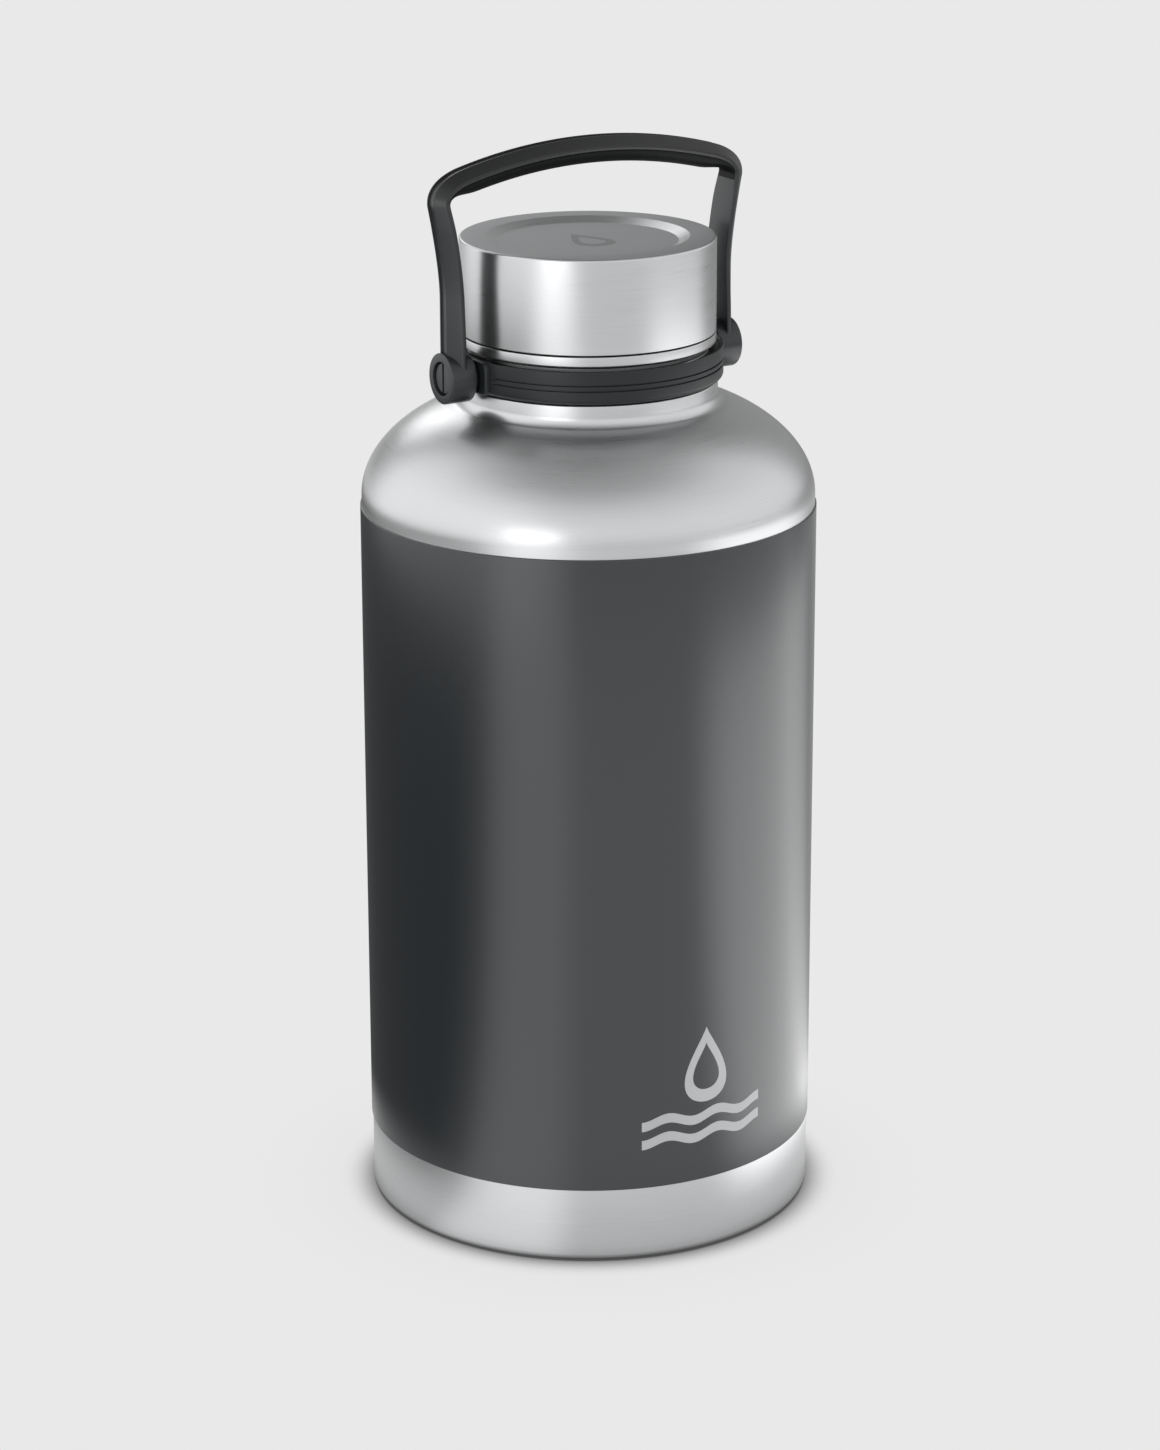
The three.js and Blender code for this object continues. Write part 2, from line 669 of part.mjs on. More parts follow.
function capInsulation() {
  const outerR = CAP_R - CAP_WALL - GAP;
  const recessUnder = CAP_TOP - RECESS_DEPTH - CAP_WALL - GAP;
  const rimUnder = CAP_TOP - CAP_WALL - GAP;
  return turned([
    point(0, CORE_ROOF_Z[1] + GAP),
    point(CORE_WALL_R + GAP, CORE_ROOF_Z[1] + GAP),
    point(CORE_WALL_R + GAP, CORE_FLANGE_TOP + GAP),
    point(outerR, CORE_FLANGE_TOP + GAP),
    point(outerR, rimUnder - CAP_EDGE),
    point(outerR - CAP_EDGE, rimUnder),
    point(RECESS_RIM_R + 0.6, rimUnder),
    point(RECESS_R + 0.6, recessUnder),
    point(0, recessUnder),
  ]);
}

function capLinerDisc() {
  const low = SPOUT_TOP_Z + 2 * GAP;
  const high = CORE_ROOF_Z[0] - GAP;
  return turned([point(0, low), point(LINER_DISC_R, low), point(LINER_DISC_R, high), point(0, high)]);
}

function capGasket() {
  const low = SPOUT_TOP_Z + GAP;
  const high = CORE_ROOF_Z[0] - GAP;
  const [innerR, outerR] = CAP_GASKET_R;
  return turnedRing([point(innerR, low), point(outerR, low), point(outerR, high), point(innerR, high)]);
}

// ---- finishes -----------------------------------------------------------
function finish(color, roughness, metalness) {
  return () => new THREE.MeshStandardMaterial({ color, roughness, metalness });
}

const brushedSteel = finish(0xc4c6c6, 0.32, 1.0);
const innerSteel = finish(0xb8babb, 0.4, 1.0);
const slateCoat = finish(0x4b4f51, 0.5, 0.0);
const blackNylon = finish(0x35383a, 0.45, 0.0);
const softGrip = finish(0x2b2d2f, 0.65, 0.0);
const blackenedSteel = finish(0x4a4d4f, 0.45, 0.8);
const polypropylene = finish(0x3c4042, 0.5, 0.0);
const silicone = finish(0x9aa0a2, 0.7, 0.0);
const copperFoil = finish(0xb87333, 0.3, 1.0);
const brass = finish(0xb5a642, 0.35, 1.0);
const acetal = finish(0x1f2122, 0.5, 0.0);
const foam = finish(0xe8e4d8, 0.95, 0.0);
const glassSolder = finish(0x5a5f52, 0.3, 0.0);
const getterMetal = finish(0x6c6e70, 0.7, 0.6);

// ---- assembly -----------------------------------------------------------
function part(name, geometry, material) {
  const mesh = new THREE.Mesh(geometry, material());
  mesh.name = name;
  return mesh;
}

function group(...members) {
  const set = new THREE.Group();
  set.add(...members);
  return set;
}

const bottle = group(
  part('outer_shell', outerShell(), brushedSteel),
  part('powder_coat', powderCoat(), slateCoat),
  part('inner_vessel', innerVessel(), innerSteel),
  part('radiation_foil', radiationFoil(), copperFoil),
  part('outer_base', outerBase(), brushedSteel),
  part('vacuum_seal', vacuumSeal(), glassSolder),
  part('base_cover_disc', baseCoverDisc(), brushedSteel),
  part('getter_pellet', getterPellet(), getterMetal),
  part('handle_collar', handleCollar(), blackNylon),
);

for (const [suffix, turn] of [['right', 0], ['left', Math.PI]]) {
  const pivot = group(
    part(`thread_insert_${suffix}`, threadInsert(), brass),
    part(`pivot_washer_${suffix}`, pivotWasher(), acetal),
    part(`pivot_screw_${suffix}`, pivotScrew(), blackenedSteel),
  );
  pivot.rotation.z = turn;
  bottle.add(pivot);
}

const handle = group(
  part('handle_frame', handleFrame(), blackNylon),
  part('handle_grip', handleGrip(), softGrip),
);

const spout = group(
  part('mouth_gasket', mouthGasket(), silicone),
  part('spout_adaptor', spoutAdaptor(), polypropylene),
  part('spout_trim_ring', spoutTrimRing(), brushedSteel),
);

const cap = group(
  part('cap_gasket', capGasket(), silicone),
  part('cap_liner_disc', capLinerDisc(), innerSteel),
  part('cap_core', capCore(), polypropylene),
  part('cap_insulation', capInsulation(), foam),
  part('cap_shell', capShell(), brushedSteel),
);

export default group(bottle, handle, spout, cap);
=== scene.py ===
"""Looks of an insulated growler: a brushed steel bottle with a slate powder coat, a
swinging carry handle, a screw-in pouring spout and a screw cap.

Laid out as a Blender add-on and run as a script. Outlines are written in
millimetres and become metres when a mesh is made. +Z is up, the origin is the
centre of the base ring, the handle pivots about X and the front faces -Y.
"""

from math import cos, pi, radians, sin
from types import SimpleNamespace

import bmesh
import bpy
import numpy as np
from mathutils import Matrix, Vector


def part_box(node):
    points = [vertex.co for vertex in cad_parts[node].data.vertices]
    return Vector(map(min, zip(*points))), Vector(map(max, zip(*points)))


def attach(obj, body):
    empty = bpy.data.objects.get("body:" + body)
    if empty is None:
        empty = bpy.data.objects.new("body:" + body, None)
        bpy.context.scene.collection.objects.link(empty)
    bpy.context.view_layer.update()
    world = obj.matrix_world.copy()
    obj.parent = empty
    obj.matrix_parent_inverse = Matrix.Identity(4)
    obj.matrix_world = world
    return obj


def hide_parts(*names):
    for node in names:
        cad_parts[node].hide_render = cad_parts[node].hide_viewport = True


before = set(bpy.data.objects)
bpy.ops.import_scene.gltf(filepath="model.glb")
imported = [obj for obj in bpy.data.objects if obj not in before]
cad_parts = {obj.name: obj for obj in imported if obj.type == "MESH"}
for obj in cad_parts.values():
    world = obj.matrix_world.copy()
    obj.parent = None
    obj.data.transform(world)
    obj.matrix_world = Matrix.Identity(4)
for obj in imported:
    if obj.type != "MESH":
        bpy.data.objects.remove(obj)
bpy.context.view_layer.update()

bl_info = {
    "name": "Insulated growler",
    "version": (1, 0, 0),
    "blender": (4, 5, 0),
    "location": "View3D > Sidebar > Growler",
    "description": "Builds the looks of an insulated growler round its CAD frame",
    "category": "Add Mesh",
}

MM = 0.001
SIDES = 256              # steps round a large turned piece
MEDIUM_SIDES = 192       # steps round the liner, the spout and what is inside the cap
SMALL_SIDES = 96         # steps round screws, washers and hubs
SHARP = radians(34)      # edges that bend more than this stay crisp
FINE = 0.02              # mm between surfaces that look as if they touch
COAT_WALL = 0.7          # mm of powder coat and the primer under it


# ---- sizes read from the frame ----
def low(node, axis=2):
    """Lowest coordinate of a CAD node along an axis, in millimetres."""
    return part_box(node)[0][axis] / MM


def high(node, axis=2):
    """Highest coordinate of a CAD node along an axis, in millimetres."""
    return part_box(node)[1][axis] / MM


def ends(node, axis=2):
    """Lowest and highest coordinate of a CAD node along an axis, in millimetres."""
    return low(node, axis), high(node, axis)


def linear(code):
    """An sRGB hex colour as linear red, green, blue and alpha."""
    channels = [int(code[i:i + 2], 16) / 255 for i in (1, 3, 5)]
    return [c / 12.92 if c <= 0.04045 else ((c + 0.055) / 1.055) ** 2.4 for c in channels] + [1.0]


def length(label, about, millimetres):
    """A size that the user may change, shown as a length."""
    return bpy.props.FloatProperty(
        name=label, description=about, default=millimetres * MM, unit="LENGTH", precision=5)


def colour(label, about, code):
    """A colour that the user may change."""
    return bpy.props.FloatVectorProperty(
        name=label, description=about, default=linear(code), size=4, subtype="COLOR", min=0, max=1)


def factor(label, about, value, top=1.0):
    """A plain number from nought up to a limit."""
    return bpy.props.FloatProperty(name=label, description=about, default=value, min=0, max=top)


# ---- settings ----
class BottleSizes(bpy.types.PropertyGroup):
    """Sizes of the steel bottle and its powder coat."""
    bare_radius: length("Bare radius", "Outside radius of the uncoated steel", 58.63)
    wall: length("Wall", "Thickness of the outer steel wall", 0.8)
    base_corner: length("Base corner", "Radius of the bottom edge", 2.0)
    coat_edge: length("Coat edge", "Radius of the powder coat's edges", 0.25)
    shoulder_hub: length("Shoulder hub", "Radius where the shoulder's ellipse is centred", 11.0)
    shoulder_start: length("Shoulder start", "Height where the shoulder begins", 191.0)
    shoulder_rise: length("Shoulder rise", "Height of the shoulder's ellipse", 28.5)
    neck_radius: length("Neck radius", "Outside radius of the neck", 33.3)
    neck_fillet: length("Neck fillet", "Radius between neck and shoulder", 3.0)
    neck_step: length("Neck step", "Height of the step under the handle's collar", 221.4)
    lip_radius: length("Lip radius", "Outside radius of the mouth above the step", 31.0)


class HandleSizes(bpy.types.PropertyGroup):
    """Sizes of the carry handle, its collar and its pivots."""
    arm: length("Arm", "Distance of the arms' outer faces from the middle", 42.1)
    arm_straight: length("Straight arm", "Height where the arms start to flare", 246.0)
    corner_out: length("Corner", "Distance of the corners from the middle", 45.3)
    corner_height: length("Corner height", "Height where the corners start", 269.6)
    bar_half: length("Bar half", "Half of the bar's arched length", 36.5)
    bar_radius: length("Bar radius", "Radius of the arched bar", 140.0)
    strap_half: length("Strap half", "Half of the strap's width in the bar", 4.1)
    arm_half: length("Arm half", "Half of the strap's width in the arms", 5.0)
    root_half: length("Root half", "Half of the strap's width at the hubs", 5.9)
    strap_thickness: length("Strap thickness", "Thickness of the strap", 3.6)
    grip_thickness: length("Grip thickness", "Thickness of the soft grip", 3.2)
    hub_radius: length("Hub radius", "Radius of the round hubs", 6.5)
    groove_width: length("Groove width", "Width of the collar's engraved lines", 0.5)
    groove_depth: length("Groove depth", "Depth of the collar's engraved lines", 0.45)


class ScrewTopSizes(bpy.types.PropertyGroup):
    """Sizes of the spout and the cap."""
    lead: length("Thread lead", "Height gained by one turn", 5.0)
    plug_radius: length("Plug radius", "Radius of the plug in the mouth", 27.5)
    spout_radius: length("Spout radius", "Outside radius of the pouring spout", 22.6)
    spout_bore: length("Spout bore", "Radius of the pouring hole", 19.2)
    cap_wall: length("Cap wall", "Thickness of the cap's steel", 0.8)
    cap_edge: length("Cap edge", "Radius of the cap's top edge", 0.6)
    recess_rim: length("Recess rim", "Radius of the top recess at its rim", 26.0)
    recess_floor: length("Recess floor", "Radius of the top recess at its floor", 23.1)
    recess_depth: length("Recess depth", "Depth of the cap's top recess", 1.3)


class Finishes(bpy.types.PropertyGroup):
    """Colours and finishes of the object."""
    steel: colour("Steel", "Brushed stainless steel", "#cfd0d1")
    coat: colour("Coat", "Slate powder coat", "#212528")
    nylon: colour("Nylon", "Glass-filled nylon of the handle", "#222528")
    grip: colour("Grip", "Soft elastomer under the bar", "#0e0f10")
    polymer: colour("Polypropylene", "Moulded spout and cap core", "#3c4042")
    silicone: colour("Silicone", "Sealing rings", "#9aa0a2")
    ink: colour("Ink", "Printed mark", "#b4b6b7")
    steel_roughness: factor("Steel roughness", "Roughness of the brushed steel", 0.3)
    coat_roughness: factor("Coat roughness", "Roughness of the powder coat", 0.2)
    mark_width: length("Mark width", "Width of the printed mark", 36.0)
    mark_height: length("Mark height", "Height of the printed mark's middle", 46.0)


class Studio(bpy.types.PropertyGroup):
    """Floor, lights and camera."""
    paper: colour("Paper", "Pale floor and background", "#e9e9e9")
    floor_size: length("Floor size", "Side of the square floor", 10000.0)
    ambient: factor("Ambient", "Brightness of the room above the floor", 0.2, 4.0)
    walls: factor("Walls", "Extra brightness of the walls beside and behind the camera", 0.65, 4.0)
    # These two paint glowing light on the floor that only reflections see.
    right_glow: factor("Right glow", "Extra brightness of the floor on the right", 1.7, 4.0)
    lane: factor("Lane", "Extra brightness of the floor under the key light", 0.4, 4.0)
    lens: bpy.props.FloatProperty(
        name="Lens", description="Focal length of the camera", default=102.78, unit="CAMERA")


class GrowlerSettings(bpy.types.PropertyGroup):
    """All settings of the growler."""
    bottle: bpy.props.PointerProperty(type=BottleSizes, name="Bottle", description="Bottle sizes")
    handle: bpy.props.PointerProperty(type=HandleSizes, name="Handle", description="Handle sizes")
    top: bpy.props.PointerProperty(type=ScrewTopSizes, name="Top", description="Spout and cap")
    finish: bpy.props.PointerProperty(type=Finishes, name="Finishes", description="Finishes")
    studio: bpy.props.PointerProperty(type=Studio, name="Studio", description="Floor and lights")


def in_mm(settings):
    """A group's lengths in millimetres, by name."""
    return SimpleNamespace(**{key: getattr(settings, key) / MM for key in settings.__annotations__})


# ---- outlines ----
def arc(centre, radii, start, end, steps):
    """Points of an ellipse arc: centre + (a cos t, b sin t) for t from start to end."""
    t = np.linspace(start, end, steps + 1)
    return np.stack([centre[0] + radii[0] * np.cos(t), centre[1] + radii[1] * np.sin(t)], -1)


def rounded(corners, steps=6):
    """A closed outline of (across, along, round) corners. Each corner with a round becomes an
    arc that touches both of its sides at round / tan(half the corner's angle)."""
    spots = np.array([c[:2] for c in corners], float)
    outline = []
    for i, spot in enumerate(spots):
        size = corners[i][2] if len(corners[i]) > 2 else 0
        back = spots[i - 1] - spot
        ahead = spots[(i + 1) % len(spots)] - spot
        back /= np.hypot(*back)
        ahead /= np.hypot(*ahead)
        half = np.arccos(np.clip(back @ ahead, -1, 1)) / 2
        if not size or half > pi / 2 - 0.01:
            outline.append(spot[None])
            continue
        middle = spot + (back + ahead) / np.hypot(*(back + ahead)) * size / np.sin(half)
        first = spot + back * size / np.tan(half) - middle
        last = spot + ahead * size / np.tan(half) - middle
        start = np.arctan2(first[1], first[0])
        sweep = (np.arctan2(last[1], last[0]) - start + pi) % (2 * pi) - pi
        outline.append(arc(middle, (size, size), start, start + sweep, steps))
    return np.concatenate(outline)


def section(inside, outside, bottom, top, rounds, steps=6):
    """A rectangle of (radius, height) with its rounds in order from the inner bottom corner:
    inner bottom, outer bottom, outer top, inner top. One number rounds all four."""
    corners = [(inside, bottom), (outside, bottom), (outside, top), (inside, top)]
    return rounded([(*corner, size) for corner, size in zip(corners, np.broadcast_to(rounds, 4))], steps)


def smooth(t):
    """Eases from 0 to 1 as t does: 3t^2 - 2t^3."""
    t = np.clip(t, 0, 1)
    return t * t * (3 - 2 * t)


# ---- surfaces ----
def net(rows, columns, closed_rows=False):
    """Quads between neighbouring points of a grid whose columns close on themselves."""
    i, j = np.meshgrid(np.arange(rows if closed_rows else rows - 1), np.arange(columns), indexing="ij")
    after_i = (i + 1) % rows
    after_j = (j + 1) % columns
    corners = [i * columns + j, i * columns + after_j, after_i * columns + after_j, after_i * columns + j]
    return np.stack(corners, -1).reshape(-1, 4).tolist()


def turned(outline, sides=SIDES, ring=True, press=None):
    """An outline of (radius, height) turned about Z: (r cos a, r sin a, h) for a evenly round
    the circle. press lowers the radius by an amount for each point and angle."""
    outline = np.asarray(outline, float)
    angle = np.arange(sides) * 2 * pi / sides
    radius = np.repeat(outline[:, :1], sides, 1) - (0 if press is None else press)
    height = np.repeat(outline[:, 1:], sides, 1)
    points = np.stack([radius * np.cos(angle), radius * np.sin(angle), height], -1)
    return points, net(len(outline), sides, ring)


def about_pivot(surface, side):
    """Turns a surface made about Z to lie about the pivot axis, its +Z pointing to +X or -X."""
    points, faces = surface
    x, y, z = points[..., 0], points[..., 1], points[..., 2]
    return np.stack([side * z, y * side, PIVOT_HEIGHT - x], -1), faces


def carried(sections):
    """Closed sections, as rows of points, joined one after another and closed at both ends."""
    rows, columns = sections.shape[:2]
    first = list(range(columns))[::-1]
    last = list(range((rows - 1) * columns, rows * columns))
    return sections, net(rows, columns) + [first, last]


def thread(root, crest, start_turn, start_height, lead):
    """A rounded ridge carried once up a helix: (r cos a, r sin a, h + lead a / 2 pi). Its
    height above the wall swells from nought at one end and dies away again at the other."""
    turn = np.linspace(0, 1, 145)[:, None]
    swell = smooth(np.minimum(turn, 1 - turn) / 0.09)
    angle = (start_turn + turn) * 2 * pi
    across = np.array([-0.8, -0.8, -0.52, -0.28, 0.28, 0.52, 0.8, 0.8])
    out = np.array([0, 0.12, 0.86, 1, 1, 0.86, 0.12, 0])
    radius = root + (crest - root) * (0.15 + 0.85 * swell) * out
    height = start_height + lead * turn + across * (0.35 + 0.65 * swell)
    points = np.stack([radius * np.cos(angle), radius * np.sin(angle), height], -1)
    if crest > root:
        points = points[:, ::-1]
    return carried(points)


PIVOT_HEIGHT = sum(ends("pivot_screw_left")) / 2


# ---- meshes ----
def solid(name, *surfaces):
    """One object from closed surfaces in millimetres, with doubled points merged, faces
    pointing out and smooth shading between its crisp edges."""
    points = np.concatenate([s[0].reshape(-1, 3) for s in surfaces]) * MM
    faces = []
    start = 0
    for grid, quads in surfaces:
        faces += [[start + corner for corner in face] for face in quads]
        start += grid.reshape(-1, 3).shape[0]
    mesh = bpy.data.meshes.new(name)
    mesh.from_pydata(points.tolist(), [], faces)
    tidy(mesh)
    thing = bpy.data.objects.new(name, mesh)
    bpy.context.collection.objects.link(thing)
    return thing


def tidy(mesh):
    """Merges doubled points, turns an inside-out mesh round and shades it."""
    work = bmesh.new()
    work.from_mesh(mesh)
    bmesh.ops.remove_doubles(work, verts=work.verts, dist=2e-7)
    bmesh.ops.dissolve_degenerate(work, edges=work.edges, dist=2e-7)
    if work.calc_volume(signed=True) < 0:
        bmesh.ops.reverse_faces(work, faces=work.faces)
    work.to_mesh(mesh)
    work.free()
    mesh.polygons.foreach_set("use_smooth", [True] * len(mesh.polygons))
    mesh.set_sharp_from_angle(angle=SHARP)
    mesh.update()


def shaped(thing, joined=(), cut=()):
    """Joins closed helpers to a closed object or cuts them out of it, then removes them."""
    helpers = [(helper, "UNION") for helper in joined] + [(helper, "DIFFERENCE") for helper in cut]
    for helper, operation in helpers:
        step = thing.modifiers.new(operation, "BOOLEAN")
        step.solver = "EXACT"
        step.operation = operation
        step.object = helper
    bpy.context.view_layer.update()
    result = bpy.data.meshes.new_from_object(thing.evaluated_get(bpy.context.evaluated_depsgraph_get()))
    thing.modifiers.clear()
    thing.data = result
    for helper, _ in helpers:
        bpy.data.objects.remove(helper)
    tidy(result)
    return thing


def fitted(thing, body, finish, *nodes, slot=None):
    """Gives a finished piece its material and body, and hides the CAD nodes it stands
    for. The slot argument is not used."""
    thing.data.materials.clear()
    thing.data.materials.append(materials[finish])
    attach(thing, body)
    if nodes:
        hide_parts(*nodes)


# ---- materials ----
def add(tree, kind, inputs=None, **settings):
    """Adds a shader node with its settings. An input is a value, or an output to link to it."""
    node = tree.nodes.new("ShaderNode" + kind)
    for key, value in settings.items():
        setattr(node, key, value)
    for key, value in (inputs or {}).items():
        if isinstance(value, bpy.types.NodeSocket):
            tree.links.new(value, node.inputs[key])
        else:
            node.inputs[key].default_value = value
    return node


def figure(tree, operation, *values, kind="Math"):
    """What a Math or VectorMath node makes of some values."""
    node = add(tree, kind, dict(enumerate(values)), operation=operation)
    return next(socket for socket in node.outputs if socket.enabled)


def mixed(tree, amount, first, second, kind="RGBA"):
    """Goes from one colour or number to another as the amount goes from 0 to 1."""
    node = add(tree, "Mix", {"Factor": amount, "A": first, "B": second}, data_type=kind)
    return next(socket for socket in node.outputs if socket.enabled)


def shades(tree, amount, plain, spread):
    """The plain colour, darker and lighter by the spread as a pattern goes from 0 to 1."""
    dark = [channel * (1 - spread) for channel in plain[:3]] + [1]
    light = [min(1, channel * (1 + spread)) for channel in plain[:3]] + [1]
    return mixed(tree, amount, dark, light)


def ramp(tree, value, start, full, low_end=0.0, high_end=1.0, ease="SMOOTHSTEP"):
    """Goes from one end value to the other as a value goes from start to full."""
    return add(tree, "MapRange", {
        "Value": value, "From Min": start, "From Max": full, "To Min": low_end, "To Max": high_end},
        interpolation_type=ease).outputs["Result"]


def around(tree, value, middle, spread, start=0.0, full=1.0):
    """A number that goes evenly from below a middle to above it, by the spread."""
    return ramp(tree, value, start, full, middle - spread, middle + spread, "LINEAR")


def noise(tree, place, size, detail=2.0, roughness=0.5):
    """Soft noise of 0 to 1 whose blotches are about a size across, in millimetres."""
    return add(tree, "TexNoise", {
        "Vector": place, "Scale": 1 / (size * MM), "Detail": detail, "Roughness": roughness}).outputs["Fac"]


def cells(tree, place, size):
    """The distance from the middle of the nearest of many cells of a size, in millimetres."""
    return add(tree, "TexVoronoi", {"Vector": place, "Scale": 1 / (size * MM)}).outputs["Distance"]


def new_material(name):
    """A material without nodes, its tree and an output that holds the place on the object."""
    material = bpy.data.materials.new(name)
    material.use_nodes = True
    tree = material.node_tree
    tree.nodes.clear()
    return material, tree, add(tree, "TexCoord").outputs["Object"]


def finished(material, tint, gloss, relief, strength, depth, **inputs):
    """Closes a material with a shader that has bumps up to a depth in millimetres. Further
    inputs are named with _ for each space."""
    tree = material.node_tree
    bump = add(tree, "Bump", {"Height": relief, "Strength": strength, "Distance": depth * MM})
    inputs = {key.replace("_", " "): value for key, value in inputs.items()}
    shader = add(tree, "BsdfPrincipled", {
        "Base Color": tint, "Roughness": gloss, "Normal": bump.outputs["Normal"], **inputs})
    add(tree, "OutputMaterial", {"Surface": shader.outputs[0]})
    return material


def brushed_stainless(name, plain, roughness, radius):
    """Austenitic stainless steel brushed round its axis. The fine circular scratches draw
    highlights out along the height and leave faint level streaks. The true scratches are
    about 0.1 mm apart, and are drawn 0.3 mm apart so that they show."""
    line = 1 / (0.3 * MM)
    stroke = 16.0
    material, tree, place = new_material(name)
    parts = add(tree, "SeparateXYZ", {"Vector": place}).outputs
    flat = add(tree, "CombineXYZ", {"X": parts["X"], "Y": parts["Y"]}).outputs[0]
    reach = figure(tree, "LENGTH", flat, kind="VectorMath")
    outward = figure(tree, "NORMALIZE", flat, kind="VectorMath")
    along = figure(tree, "MULTIPLY", outward, (radius / stroke,) * 3, kind="VectorMath")
    lift = add(tree, "CombineXYZ", {"Z": figure(tree, "MULTIPLY", parts["Z"], line)}).outputs[0]
    scratches = add(tree, "TexNoise", {
        "Vector": figure(tree, "ADD", along, lift, kind="VectorMath"), "Scale": 1.0, "Detail": 3.0,
        "W": figure(tree, "MULTIPLY", reach, line), "Roughness": 0.65}, noise_dimensions="4D").outputs["Fac"]
    patches = around(tree, noise(tree, place, 35), 0, 0.03)
    gloss = figure(tree, "ADD", around(tree, scratches, roughness + 0.005, 0.035, 0.3, 0.7), patches)
    level = add(tree, "Tangent", direction_type="RADIAL", axis="Z").outputs["Tangent"]
    return finished(
        material, shades(tree, scratches, plain, 0.06), gloss, scratches, 0.32, 0.002, Metallic=1.0,
        Anisotropic=0.35, Anisotropic_Rotation=0.25, Tangent=level)


def blasted_stainless(name, plain, roughness):
    """Stainless steel glass-bead blasted to a satin. The tiny dimples, about 0.2 mm across,
    scatter light evenly, so a face keeps one soft tone."""
    material, tree, place = new_material(name)
    dimples = noise(tree, place, 0.3)
    return finished(
        material, shades(tree, dimples, plain, 0.05), around(tree, dimples, roughness, 0.05),
        dimples, 0.4, 0.006, Metallic=1.0)


def polyester_powder_coat(name, plain, roughness):
    """Fine-texture polyester powder coat. Cured powder flows into a faint orange peel, its
    cells about 0.9 mm across, which breaks the satin sheen into a soft bloom."""
    material, tree, place = new_material(name)
    peel = noise(tree, place, 0.9, 1.5, 0.4)
    return finished(
        material, shades(tree, noise(tree, place, 60), plain, 0.05), around(tree, peel, roughness, 0.04),
        peel, 0.35, 0.012, IOR=1.5, Specular_IOR_Level=0.9)


def moulded_polymer(name, plain, roughness, grain=0.35, depth=0.01, index=1.5, sheen=0.5, painted_shade_above=None):
    """Moulded plastic with a fine spark-eroded grain, about 0.35 mm across, that softens its
    highlights, and slight changes of tone where the melt has flowed. A handle also has painted
    shade: above a height, in mm, it grows darker to a share of its colour, standing in for the
    lesser light on its bar."""
    material, tree, place = new_material(name)
    pits = noise(tree, place, grain, 2.5)
    tint = shades(tree, noise(tree, place, 18), plain, 0.1)
    # painted shade: the tint darkens towards the top of the piece
    if painted_shade_above:
        start, full, share = painted_shade_above
        height = add(tree, "SeparateXYZ", {"Vector": place}).outputs["Z"]
        painted_shade_tint = [channel * share for channel in plain[:3]] + [1]
        tint = mixed(tree, ramp(tree, height, start * MM, full * MM), tint, painted_shade_tint)
    return finished(
        material, tint, around(tree, pits, roughness, 0.07), pits, 0.4, depth,
        IOR=index, Specular_IOR_Level=sheen)


def metal_foil(name, plain, roughness):
    """Rolled copper foil, crinkled by hand when it is wrapped: facets 6 mm across that each
    catch the light their own way."""
    material, tree, place = new_material(name)
    creases = cells(tree, place, 6)
    return finished(
        material, shades(tree, creases, plain, 0.12), roughness, creases, 0.5, 0.15, Metallic=1.0)


def cell_foam(name, plain):
    """Rigid polyurethane foam with cells about 0.8 mm across and a chalky, dull skin."""
    material, tree, place = new_material(name)
    bubbles = cells(tree, place, 0.8)
    return finished(material, shades(tree, bubbles, plain, 0.12), 0.95, bubbles, 0.6, 0.2)


materials = {}


def make_materials(settings):
    """Every finish of the object, by the name of its slot in the record."""
    finish = settings.finish
    steel = list(finish.steel)
    rough = finish.steel_roughness
    materials.update({
        "brushed_steel": brushed_stainless("brushed_stainless_body", steel, rough, 58.6),
        "cap_steel": brushed_stainless("brushed_stainless_cap", steel, rough, 32.8),
        "cap_top_steel": blasted_stainless("satin_stainless_cap_top", linear("#c0c2c3"), 0.5),
        "inner_steel": brushed_stainless("drawn_stainless_liner", linear("#b8babb"), 0.4, 54.8),
        "base_steel": blasted_stainless("satin_stainless_base", linear("#a9abac"), 0.42),
        "slate_coat": polyester_powder_coat("slate_powder_coat", list(finish.coat), finish.coat_roughness),
        # the handle's nylon is painted darker above 264 mm: painted shade on the bar
        "black_nylon": moulded_polymer(
            "glass_filled_nylon", list(finish.nylon), 0.3, sheen=0.55, painted_shade_above=(264.0, 276.0, 0.25)),
        "collar_nylon": moulded_polymer("glass_filled_nylon_collar", linear("#1a1e20"), 0.36, sheen=0.4),
        "soft_grip": moulded_polymer(
            "thermoplastic_elastomer", list(finish.grip), 0.5, grain=0.5, sheen=0.15),
        "screw_steel": moulded_polymer("blackened_screw_steel", linear("#3b3e40"), 0.42, grain=0.2),
        "washer_acetal": moulded_polymer("black_acetal", linear("#1c1d1e"), 0.4, index=1.48),
        "insert_brass": blasted_stainless("turned_brass", linear("#b5a642"), 0.35),
        "spout_polypropylene": moulded_polymer(
            "moulded_polypropylene", list(finish.polymer), 0.42, grain=0.6, index=1.49),
        "gasket_silicone": moulded_polymer("silicone_rubber", list(finish.silicone), 0.6, index=1.41),
        "copper_foil": metal_foil("rolled_copper_foil", linear("#b87333"), 0.3),
        "cap_foam": cell_foam("polyurethane_foam", linear("#e8e4d8")),
        "seal_glass": moulded_polymer("solder_glass", linear("#5a5f52"), 0.25, grain=1.2, index=1.6),
        "getter_metal": blasted_stainless("sintered_getter_metal", linear("#6c6e70"), 0.7),
        "printed_ink": moulded_polymer("screen_printed_ink", list(finish.ink), 0.5, grain=0.25, depth=0.004),
    })


# ---- bottle ----
def shoulder(b, radius_cut, rise_cut, end):
    """The shoulder's quarter ellipse, made smaller by a wall, up to the neck's radius."""
    span = b.bare_radius - radius_cut - b.shoulder_hub
    stop = np.arccos((end - b.shoulder_hub) / span)
    return arc((b.shoulder_hub, b.shoulder_start), (span, b.shoulder_rise - rise_cut), 0, stop, 48)


